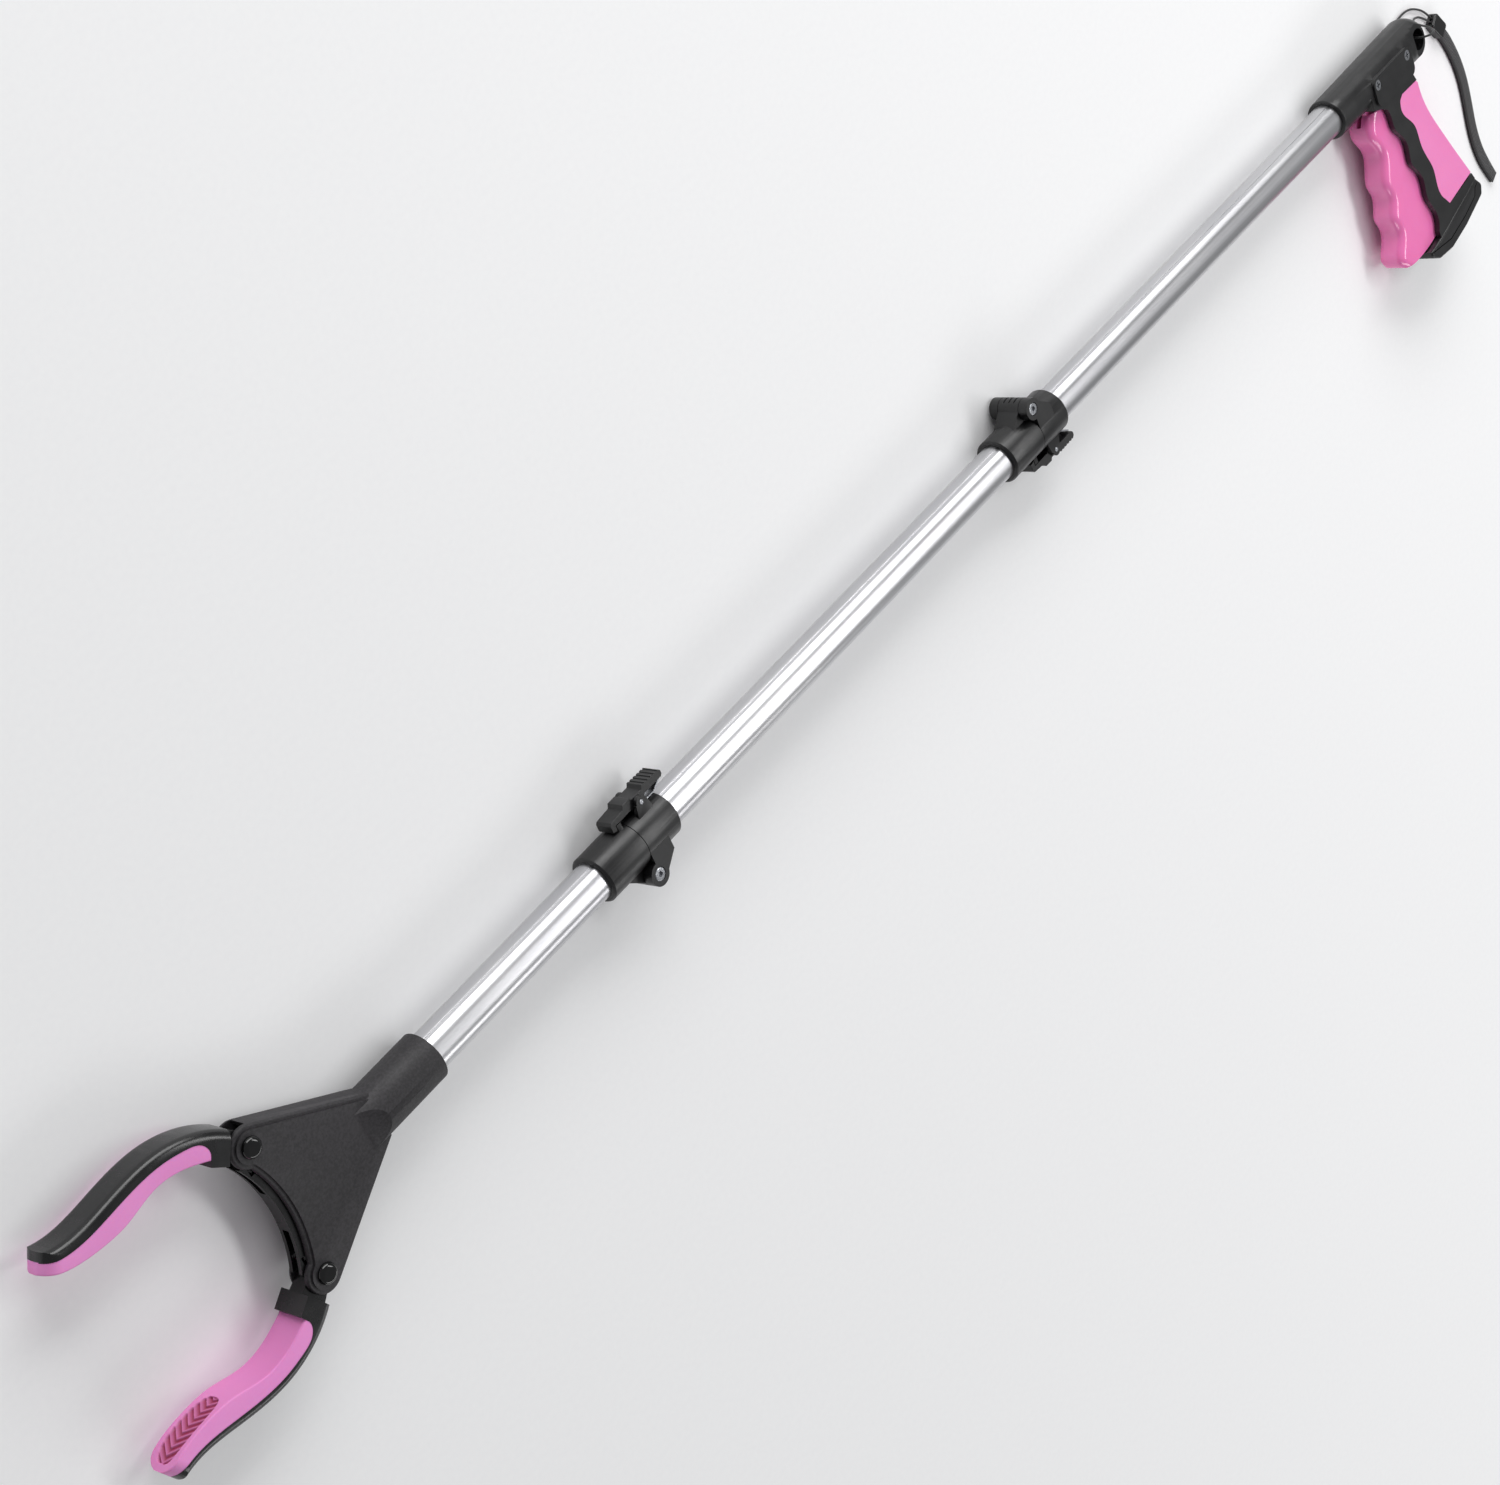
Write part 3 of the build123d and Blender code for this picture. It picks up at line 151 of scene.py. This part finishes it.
def moulded(name, shade, worn, roughness, grain_mm, grain_depth, speckle=0.15, painted_shade_colour=None, **shader):
    """Injection-moulded plastic: a slow change of shade where the melt flowed, a spark-eroded
    grain, and a gloss that is a little uneven from handling. Where the piece has a painted-shade
    attribute, its colour is mixed towards the given dark colour as that value goes to 1: painted shade."""
    flow_mm = 60.0
    material, tree, surface, place = start_material(name, **shader)
    flow = noise(tree, place, flow_mm, 3.0)
    grain = noise(tree, place, grain_mm, 2.0, 0.6)
    rubbed = noise(tree, place, flow_mm / 4, 4.0, 0.65)
    shift = add(tree, "ShaderNodeMath", {0: spread(tree, flow, 0.2, 0.8),
                                         1: spread(tree, grain, -speckle, speckle)}, operation="ADD")
    colour = tint(tree, shift.outputs[0], shade, worn)
    if painted_shade_colour:
        # Painted shade: the per-point attribute darkens the colour towards the given dark colour where the piece
        # lies in shade.
        tone = add(tree, "ShaderNodeAttribute", attribute_name="tone").outputs["Fac"]
        mix = add(tree, "ShaderNodeMix", {"Factor": tone}, data_type="RGBA")
        tree.links.new(colour, mix.inputs["A"])
        mix.inputs["B"].default_value = linear(painted_shade_colour)
        colour = mix.outputs["Result"]
    tree.links.new(colour, surface.inputs["Base Color"])
    tree.links.new(spread(tree, rubbed, roughness - 0.04, roughness + 0.06), surface.inputs["Roughness"])
    relief(tree, surface, (grain, grain_depth))
    return material


def anodised_aluminium():
    """Extruded tube, satin anodised: fine die lines along it, and a clear oxide skin that
    softens its reflections."""
    material, tree, surface, place = start_material("anodised_aluminium", Metallic=1.0, Roughness=0.3)
    die_lines = noise(tree, place, 1.3, 2.0, 0.6, stretch=(0.002, 1, 1))
    bloom = noise(tree, place, 70.0, 3.0)
    clouded = tint(tree, spread(tree, bloom, 0, 1), "#C2C2C5", "#CACACC")
    tree.links.new(clouded, surface.inputs["Base Color"])
    tree.links.new(spread(tree, die_lines, 0.28, 0.34), surface.inputs["Roughness"])
    relief(tree, surface, (die_lines, 0.003))
    return material


def zinc_steel(name="zinc_plated_steel", shade="#B9BBBF", worn="#8F9196", roughness=0.28):
    """Bright zinc on cold-headed steel: grey, a little cloudy."""
    material, tree, surface, place = start_material(name, Metallic=1.0, Roughness=roughness)
    cloud = noise(tree, place, 2.0, 3.0)
    tree.links.new(tint(tree, spread(tree, cloud, 0, 1), shade, worn), surface.inputs["Base Color"])
    tree.links.new(spread(tree, cloud, roughness - 0.06, roughness + 0.1), surface.inputs["Roughness"])
    relief(tree, surface, (cloud, 0.02))
    return material


def woven_nylon():
    """Plain-woven nylon webbing: weft ribs across it and warp ribs along it, drawn from its UV map,
    whose first axis runs along it in mm and whose second runs across."""
    rib_mm, warp_mm = 1.25, 1.4
    material, tree, surface, _ = start_material("woven_nylon", Roughness=0.75, Sheen_Weight=0.25,
                                                Sheen_Roughness=0.5)
    along = add(tree, "ShaderNodeUVMap", uv_map="weave").outputs["UV"]
    split = add(tree, "ShaderNodeSeparateXYZ", {"Vector": along})

    def ripple(axis, pitch):
        turn = add(tree, "ShaderNodeMath", {0: split.outputs[axis], 1: 2 * pi / pitch},
                   operation="MULTIPLY")
        wave = add(tree, "ShaderNodeMath", {0: turn.outputs[0]}, operation="SINE")
        raised = add(tree, "ShaderNodeMath", {0: wave.outputs[0], 1: 0.5, 2: 0.5},
                     operation="MULTIPLY_ADD")
        return raised.outputs[0]

    ribs, warps = ripple("X", rib_mm), ripple("Y", warp_mm)
    weave = add(tree, "ShaderNodeMath", {0: ribs, 1: warps}, operation="MULTIPLY").outputs[0]
    tree.links.new(tint(tree, weave, "#131314", "#39393B"), surface.inputs["Base Color"])
    relief(tree, surface, (ribs, 0.25), (warps, 0.18))
    return material


def braided_string():
    """Black polyester string with a fine braid."""
    plait_mm = 0.9
    material, tree, surface, place = start_material("braided_string", Roughness=0.6, Sheen_Weight=0.2)
    cells = add(tree, "ShaderNodeTexVoronoi", {"Vector": place, "Scale": 1 / (plait_mm * MM)})
    plaits = cells.outputs["Distance"]
    tree.links.new(tint(tree, plaits, "#262627", "#0C0C0D"), surface.inputs["Base Color"])
    relief(tree, surface, (plaits, 0.15))
    return material


def floor_paper():
    """Matt white background paper."""
    material, tree, surface, place = start_material("background_paper", Roughness=0.9,
                                                    Specular_IOR_Level=0.2)
    fibre = noise(tree, place, 3.0, 4.0)
    tree.links.new(tint(tree, fibre, "#F6F6F7", "#FBFBFB"), surface.inputs["Base Color"])
    return material


ABS = dict(IOR=1.54)
RUBBER = dict(IOR=1.50, Subsurface_Weight=0.12, Subsurface_Scale=1.2 * MM)
finish = {
    "tube": anodised_aluminium(),
    "housing": moulded("moulded_abs_black", "#070708", "#101011", 0.36, 1.4, 0.02, **ABS),
    "plate": moulded("textured_abs_charcoal", "#161417", "#2C292D", 0.58, 1.1, 0.07, speckle=0.5, **ABS),
    "jaw": moulded("satin_abs_black", "#080809", "#111112", 0.26, 1.6, 0.012, **ABS),
    "cap": moulded("gloss_abs_black", "#060607", "#0C0C0D", 0.12, 2.5, 0.005, **ABS),
    "trigger": moulded("gloss_abs_pink", "#F473B8", "#F67FBE", 0.19, 3.0, 0.004, speckle=0.05, IOR=1.54,
                       Subsurface_Weight=0.08, Subsurface_Scale=1.5 * MM,
                       Coat_Weight=0.4, Coat_Roughness=0.12),
    "insert": moulded("soft_tpr_pink", "#F080BF", "#F38BC6", 0.46, 1.3, 0.03, speckle=0.08, **RUBBER),
    # The pad's dark mix colour is painted shade for its tread grooves and its inner face.
    "pad": moulded("grip_rubber_pink", "#EC8CD2", "#F098D8", 0.50, 1.3, 0.03, speckle=0.08, painted_shade_colour="#9A2F52",
                   **RUBBER),
    "bush": moulded("natural_nylon", "#E4E2DA", "#EEEDE6", 0.45, 1.5, 0.03, IOR=1.53),
    "steel": zinc_steel(),
    "cable": zinc_steel("steel_cable", "#8D8F93", "#6D6F73", 0.4),
    "magnet": zinc_steel("nickel_plate", "#D6D4CE", "#C2C0BB", 0.16),
    "webbing": woven_nylon(),
    "string": braided_string(),
}


# ---- making pieces --------------------------------------------------------------
JOIN_MM = 0.0005             # corners closer than this are one corner
FLAT_TURN = radians(0.3)     # faces that meet at less than this are one flat face

def put(name, mesh, node, material, smooth=True):
    """A new piece that rides with the node's body."""
    piece = bpy.data.objects.new(name, mesh)
    bpy.context.scene.collection.objects.link(piece)
    if material:
        mesh.materials.clear()
        mesh.materials.append(material)
    for face in mesh.polygons:
        face.use_smooth = smooth
    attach(piece, BODY[node])
    return piece


def joined_mesh(node):
    """The node's mesh with its doubled corners joined and its flat faces whole."""
    mesh = frame["nodes"][node].data.copy()
    work = bmesh.new()
    work.from_mesh(mesh)
    bmesh.ops.remove_doubles(work, verts=work.verts, dist=JOIN_MM * MM)
    bmesh.ops.dissolve_limit(work, angle_limit=FLAT_TURN, verts=work.verts, edges=work.edges)
    work.to_mesh(mesh)
    work.free()
    return mesh


def dressed(node, material, edge=0.25, crease=32.0, segments=2):
    """The node as it comes from the mould: edges rounded by edge mm, and curved faces smooth."""
    mesh = joined_mesh(node)
    piece = put("finished_" + node, mesh, node, material)
    if edge:
        bevel = piece.modifiers.new("moulded edge", "BEVEL")
        bevel.width = edge * MM
        bevel.segments = segments
        bevel.limit_method = "ANGLE"
        bevel.angle_limit = radians(crease)
        bevel.harden_normals = True
        bevel.use_clamp_overlap = True
    mesh.set_sharp_from_angle(angle=radians(crease))
    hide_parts(node)
    return piece


def latch_leaf(number):
    """A latch's leaf spring in steel, fixed where it stands."""
    node, latch = f"latch_spring_{number}", f"latch_{number}"
    piece = bpy.data.objects.new("bending_" + node, joined_mesh(node))
    bpy.context.scene.collection.objects.link(piece)
    piece.data.materials.clear()
    piece.data.materials.append(finish["steel"])
    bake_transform(piece)
    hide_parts(node)


def return_coil():
    """The head's spring, dressed in steel, with a mesh of its own."""
    piece = dressed("return_spring", finish["steel"], edge=0)
    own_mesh(piece)


def spline_line(route):
    """Points of the smooth line whose control points are the route's, in metres."""
    curve = cord_curve("line", route)
    holder = bpy.data.objects.new("line", curve)
    mesh = bpy.data.meshes.new_from_object(holder)
    points = [v.co.copy() for v in mesh.vertices]
    bpy.data.objects.remove(holder)
    return points


def cord_curve(name, route):
    """An open smooth curve with those control points, in mm."""
    curve = bpy.data.curves.new(name, "CURVE")
    curve.dimensions = "3D"
    curve.resolution_u = 12
    line = curve.splines.new("NURBS")
    line.points.add(len(route) - 1)
    for point, place in zip(line.points, route):
        point.co = (*(Vector(place) * MM), 1.0)
    line.order_u = 3
    line.use_endpoint_u = True
    return curve


# ---- wrist strap -----------------------------------------------------------------
STRING_D = 1.3
STRING_ROUTE = [(-89.0, 11.2, 2.4), (-85.6, 5.8, 1.9), (-80.0, 0.6, 1.5), (-71.0, -4.2, 1.0),
                (-61.0, -5.2, 1.0), (-52.0, -3.6, 1.0), (-44.6, -1.2, 1.4), (-41.4, -0.4, 7.8),
                (-41.2, 0.0, 15.5), (-41.8, 0.6, 23.0), (-45.5, 1.0, 27.4), (-51.5, 1.3, 26.2),
                (-56.5, 1.3, 20.0), (-60.0, 1.2, 12.0), (-65.0, 1.4, 5.2), (-73.0, 2.6, 1.6),
                (-80.5, 5.6, 1.4), (-86.9, 12.6, 2.4)]
WEB_WIDTH = 8.6
WEB_THICK = 2.4
WEB_ROUTE = [(-94.6, 22.0), (-98.0, 27.3), (-101.5, 36.5), (-104.6, 48.5), (-105.4, 61.5),
             (-103.6, 76.0), (-101.4, 90.0), (-101.9, 104.0), (-105.4, 116.5), (-110.6, 128.0)]


def make_string(clamp):
    curve = cord_curve("wrist_string", STRING_ROUTE)
    curve.bevel_depth = STRING_D / 2 * MM
    curve.bevel_resolution = 3
    curve.use_fill_caps = True
    curve.materials.append(finish["string"])
    piece = bpy.data.objects.new("wrist_string", curve)
    bpy.context.scene.collection.objects.link(piece)
    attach(piece, BODY["strap_string"])
    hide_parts("strap_string")
    line = spline_line(STRING_ROUTE)
    return piece


def band(points, layers):
    """Flat bands swept along the points. Each layer is a bottom and a top height; the band narrows
    to its folded end."""
    taper_mm, narrow = 16.0, 0.86
    mesh = bpy.data.meshes.new("webbing")
    work = bmesh.new()
    uv = work.loops.layers.uv.new("weave")
    run = [0.0]
    for a, b in zip(points, points[1:]):
        run.append(run[-1] + (b - a).length / MM)
    for bottom, top in layers:
        rings = []
        for i, point in enumerate(points):
            ahead = (points[min(i + 1, len(points) - 1)] - points[max(i - 1, 0)]).normalized()
            side = Vector((ahead.y, -ahead.x, 0))
            left = run[-1] - run[i]
            half = WEB_WIDTH / 2 * (narrow + (1 - narrow) * min(1.0, left / taper_mm))
            round_edge = (top - bottom) * 0.32
            section = [(-half, bottom + round_edge), (-half + round_edge, bottom),
                       (half - round_edge, bottom), (half, bottom + round_edge),
                       (half, top - round_edge), (half - round_edge, top), (half * 0.5, top),
                       (0, top), (-half * 0.5, top), (-half + round_edge, top),
                       (-half, top - round_edge)]
            ring = []
            for across, height in section:
                place = Vector((point.x, point.y, 0)) + side * across * MM
                ring.append((work.verts.new((place.x, place.y, height * MM)), across))
            rings.append(ring)
        count = len(rings[0])
        for i in range(len(rings) - 1):
            for j in range(count):
                k = (j + 1) % count
                corners = [(rings[i][j], run[i]), (rings[i + 1][j], run[i + 1]),
                           (rings[i + 1][k], run[i + 1]), (rings[i][k], run[i])]
                face = work.faces.new([c[0][0] for c in corners])
                for loop, ((_, across), along) in zip(face.loops, corners):
                    loop[uv].uv = (along, across)
        for ring, along, order in ((rings[0], run[0], 1), (rings[-1], run[-1], -1)):
            face = work.faces.new([v for v, _ in ring][::order])
            for loop in face.loops:
                loop[uv].uv = (along, 0)
    bmesh.ops.recalc_face_normals(work, faces=work.faces)
    work.to_mesh(mesh)
    work.free()
    return mesh


def make_webbing():
    """A loop of webbing pressed flat: two layers, one on the other."""
    line = spline_line([(x, y, WEB_THICK / 2) for x, y in WEB_ROUTE])
    gap = 0.12
    middle = WEB_THICK / 2
    mesh = band(line, [(0.0, middle - gap), (middle + gap, WEB_THICK)])
    piece = put("wrist_webbing", mesh, "strap_webbing", finish["webbing"])
    mesh.set_sharp_from_angle(angle=radians(50))
    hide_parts("strap_webbing")
    return piece


# ---- jaw pads --------------------------------------------------------------------
# Side view of a jaw when shut, from its rivet: the line between arm and pad, and the pad's inner face.
PARTING = [(20.0, -1.2), (20.9, 2.4), (24.5, 4.8), (32.0, 4.2), (42.0, 0.8), (64.0, -13.4),
           (83.0, -26.1), (94.0, -29.2)]
PAD_INNER = [(20.0, -2.0), (34.0, -3.9), (44.5, -8.2), (51.5, -14.0), (58.0, -20.2),
             (67.0, -26.0), (77.0, -30.6), (86.0, -33.2), (94.0, -33.8)]
PAD_HALF = 8.3
PAD_EDGE = 0.9               # rounding of the face's long edges
PAD_SUNK = 0.3               # how far the pad's back is moulded into the arm
EDGE_PAINTED_SHADE = 0.22             # painted shade of the untreaded face, between the side's and the treads' floor's
TIP_ROUND = 7.0
TIP_BLUNT = 0.35             # share of the width left at the very tip
TREAD_PITCH = 3.5
TREAD_DEEP = 1.3
TREAD_LEAN = 0.85            # how far a chevron's ends trail its point, for each mm across
TREAD_START = 3.2            # from the tip
TREAD_LENGTH = 33.0
TREAD_HALF = 5.9
TREAD_WALL = 0.6             # width of the slope at the oval's rim


def smooth_through(points, count):
    """count points, evenly spaced, on the smooth curve through the given ones."""
    known = np.array(points, float)
    step = np.sqrt((np.diff(known, axis=0) ** 2).sum(1))
    at = np.concatenate([[0], np.cumsum(step)])
    size = len(at)
    system, right = np.eye(size), np.zeros_like(known)
    for i in range(1, size - 1):
        system[i, i - 1:i + 2] = (step[i - 1], 2 * (step[i - 1] + step[i]), step[i])
        right[i] = 6 * ((known[i + 1] - known[i]) / step[i] - (known[i] - known[i - 1]) / step[i - 1])
    bend = np.linalg.solve(system, right)
    fine = np.linspace(0, at[-1], 2000)
    k = np.clip(np.searchsorted(at, fine) - 1, 0, size - 2)
    h, u = step[k][:, None], (fine - at[k])[:, None]
    w = h - u
    curve = (bend[k] * w ** 3 + bend[k + 1] * u ** 3) / (6 * h) + (known[k] / h - bend[k] * h / 6) * w \
        + (known[k + 1] / h - bend[k + 1] * h / 6) * u
    run = np.concatenate([[0], np.cumsum(np.sqrt((np.diff(curve, axis=0) ** 2).sum(1)))])
    even = np.linspace(0, run[-1], count)
    return np.stack([np.interp(even, run, curve[:, i]) for i in range(2)], 1), run[-1]


def jaw_place(side):
    """Where a point of the side view, in mm, lies while the jaws rest open."""
    joint = JOINT["jaw_b_close" if side > 0 else "jaw_a_close"]
    pivot = Vector(joint["pos_m"])
    turn = radians(joint["range_deg"][1])

    def place(x, y, z):
        along, out = x * MM, side * y * MM
        return Vector((pivot.x + along * cos(turn) - out * side * sin(turn),
                       pivot.y + along * side * sin(turn) + out * cos(turn), pivot.z + z * MM))
    return place


def tread_depth(from_tip, across):
    """Depth of the tread below the pad's face, from 0 to 1: chevrons in a long dished oval."""
    half = TREAD_LENGTH / 2
    along = (from_tip - TREAD_START - half) / half
    width = TREAD_HALF * max(0.0, 1 - abs(along) ** 3) ** (1 / 3)
    inside = min(1.0, max(0.0, (width - abs(across)) / TREAD_WALL))
    phase = (from_tip - TREAD_START - TREAD_LEAN * abs(across)) / TREAD_PITCH % 1.0
    return inside * min(1.0, 0.28 + 1.2 * min(phase, 3.0 * (1 - phase)))


def make_pad(name, node, side):
    """A pad with a treaded tip, closed all round."""
    stations, faces_across, round_steps = 240, 44, 5
    outer, _ = smooth_through(PARTING, stations)
    inner, length = smooth_through(PAD_INNER, stations)
    place = jaw_place(side)
    mesh = bpy.data.meshes.new(name)
    work = bmesh.new()
    # Each point also gets a painted-shade value: none on the side, rising over the rounded edge to the untreaded
    # face's painted shade, and darkest on the tread floors.
    rings, painted_shades = [], {}
    for i in range(stations):
        from_tip = length * (1 - i / (stations - 1))
        inset = max(0.0, TIP_ROUND - from_tip)
        half = PAD_HALF - TIP_ROUND + (TIP_ROUND ** 2 - inset ** 2) ** 0.5
        half = max(half, TIP_BLUNT * PAD_HALF)
        back, face = Vector(outer[i]), Vector(inner[i])
        depth = (face - back).length
        out = (face - back) / depth
        edge = min(PAD_EDGE, depth / 2)
        ring = [(back - out * PAD_SUNK, -half), (back - out * PAD_SUNK, half)]
        tone = [0.0, 0.0]
        for k in range(round_steps + 1):
            turn = pi / 2 * k / round_steps
            ring.append((back + out * (depth - edge + edge * sin(turn)), half - edge + edge * cos(turn)))
            tone.append(EDGE_PAINTED_SHADE * k / round_steps)
        for k in range(1, faces_across):
            across = (half - edge) * (1 - 2 * k / faces_across)
            sunk = tread_depth(from_tip, across)
            ring.append((back + out * (depth - TREAD_DEEP * sunk), across))
            tone.append(EDGE_PAINTED_SHADE + (1 - EDGE_PAINTED_SHADE) * sunk)
        for k in range(round_steps, -1, -1):
            turn = pi / 2 * k / round_steps
            ring.append((back + out * (depth - edge + edge * sin(turn)), -half + edge - edge * cos(turn)))
            tone.append(EDGE_PAINTED_SHADE * k / round_steps)
        made = [work.verts.new(place(p.x, p.y, across)) for p, across in ring]
        rings.append(made)
        painted_shades.update(zip(made, tone))
    count = len(rings[0])
    for a, b in zip(rings, rings[1:]):
        for j in range(count):
            k = (j + 1) % count
            work.faces.new((a[j], b[j], b[k], a[k]))
    work.faces.new(rings[0])
    work.faces.new(rings[-1][::-1])
    bmesh.ops.recalc_face_normals(work, faces=work.faces)
    work.verts.index_update()
    values = [painted_shades[v] for v in work.verts]
    work.to_mesh(mesh)
    work.free()
    mesh.attributes.new("tone", "FLOAT", "POINT").data.foreach_set("value", values)
    piece = put(name, mesh, node, finish["pad"])
    mesh.set_sharp_from_angle(angle=radians(38))
    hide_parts(node)
    return piece


# ---- floor and light ----------------------------------------------------------------
def make_floor():
    size = 6.0
    mesh = bpy.data.meshes.new("floor")
    work = bmesh.new()
    bmesh.ops.create_grid(work, x_segments=1, y_segments=1, size=size)
    work.to_mesh(mesh)
    work.free()
    mesh.materials.append(floor_paper())
    floor = bpy.data.objects.new("floor", mesh)
    bpy.context.scene.collection.objects.link(floor)


def softbox(name, place, width, height, power):
    """A rectangular lamp aimed at the middle of the tool: sizes in metres, power in watts."""
    middle = Vector((0.45, 0.0, 0.0))
    data = bpy.data.lights.new(name, "AREA")
    data.shape = "RECTANGLE"
    data.size = width
    data.size_y = height
    data.energy = power
    light = bpy.data.objects.new(name, data)
    light.location = place
    light.rotation_euler = (middle - Vector(place)).to_track_quat("-Z", "Y").to_euler()
    bpy.context.scene.collection.objects.link(light)


def make_light():
    softbox("key", (-0.3, -2.3, 1.05), width=3.2, height=1.2, power=58)
    softbox("overhead", (-0.9, 0.1, 2.2), width=2.2, height=0.5, power=24)
    softbox("fill", (0.2, 2.4, 1.3), width=2.6, height=0.6, power=16)
    world = bpy.data.worlds.new("studio")
    world.use_nodes = True
    backdrop = world.node_tree.nodes["Background"].inputs
    backdrop["Color"].default_value = linear("#F2F3F5")
    backdrop["Strength"].default_value = 0.32
    bpy.context.scene.world = world
    bpy.context.scene.view_settings.view_transform = "Standard"


make_camera()
make_string(dressed("strap_clamp", finish["jaw"], edge=0.3))
make_webbing()
make_pad("grip_pad_a", "jaw_pad_a", -1)
make_pad("grip_pad_b", "jaw_pad_b", 1)
latch_leaf(1)
latch_leaf(2)
return_coil()
make_floor()
make_light()

# ---- the nodes in their finishes ---------------------------------------------------------
FINISHES = {
    "housing": ["handle_shell_upper", "handle_shell_lower", "butt_cap", "rear_collar_1", "rear_collar_2",
                "front_collar_1", "front_collar_2", "latch_lever_1", "latch_lever_2"],
    "plate": ["head_shell_upper", "head_shell_lower"],
    "jaw": ["jaw_a", "jaw_b", "yoke"],
    "cap": ["jaw_rivets"],
    "trigger": ["trigger"],
    "insert": ["grip_insert"],
    "bush": ["swivel_bush"],
    "tube": ["upper_tube", "middle_tube", "lower_tube"],
    "steel": ["fold_screw_1", "fold_screw_2", "fold_nut_1", "fold_nut_2", "latch_pin_1", "latch_pin_2",
              "pull_link", "cable_ferrule", "handle_screws"],
    "cable": ["cable_upper", "cable_middle", "cable_lower"],
    "magnet": ["magnet"],
}
ROUNDED = {"housing": 0.35, "plate": 0.3, "jaw": 0.25, "insert": 1.0, "trigger": 0.5, "cap": 0,
           "bush": 0, "tube": 0.12, "steel": 0.12, "cable": 0, "magnet": 0.12}
for kind, nodes in FINISHES.items():
    for node in nodes:
        dressed(node, finish[kind], edge=ROUNDED[kind])
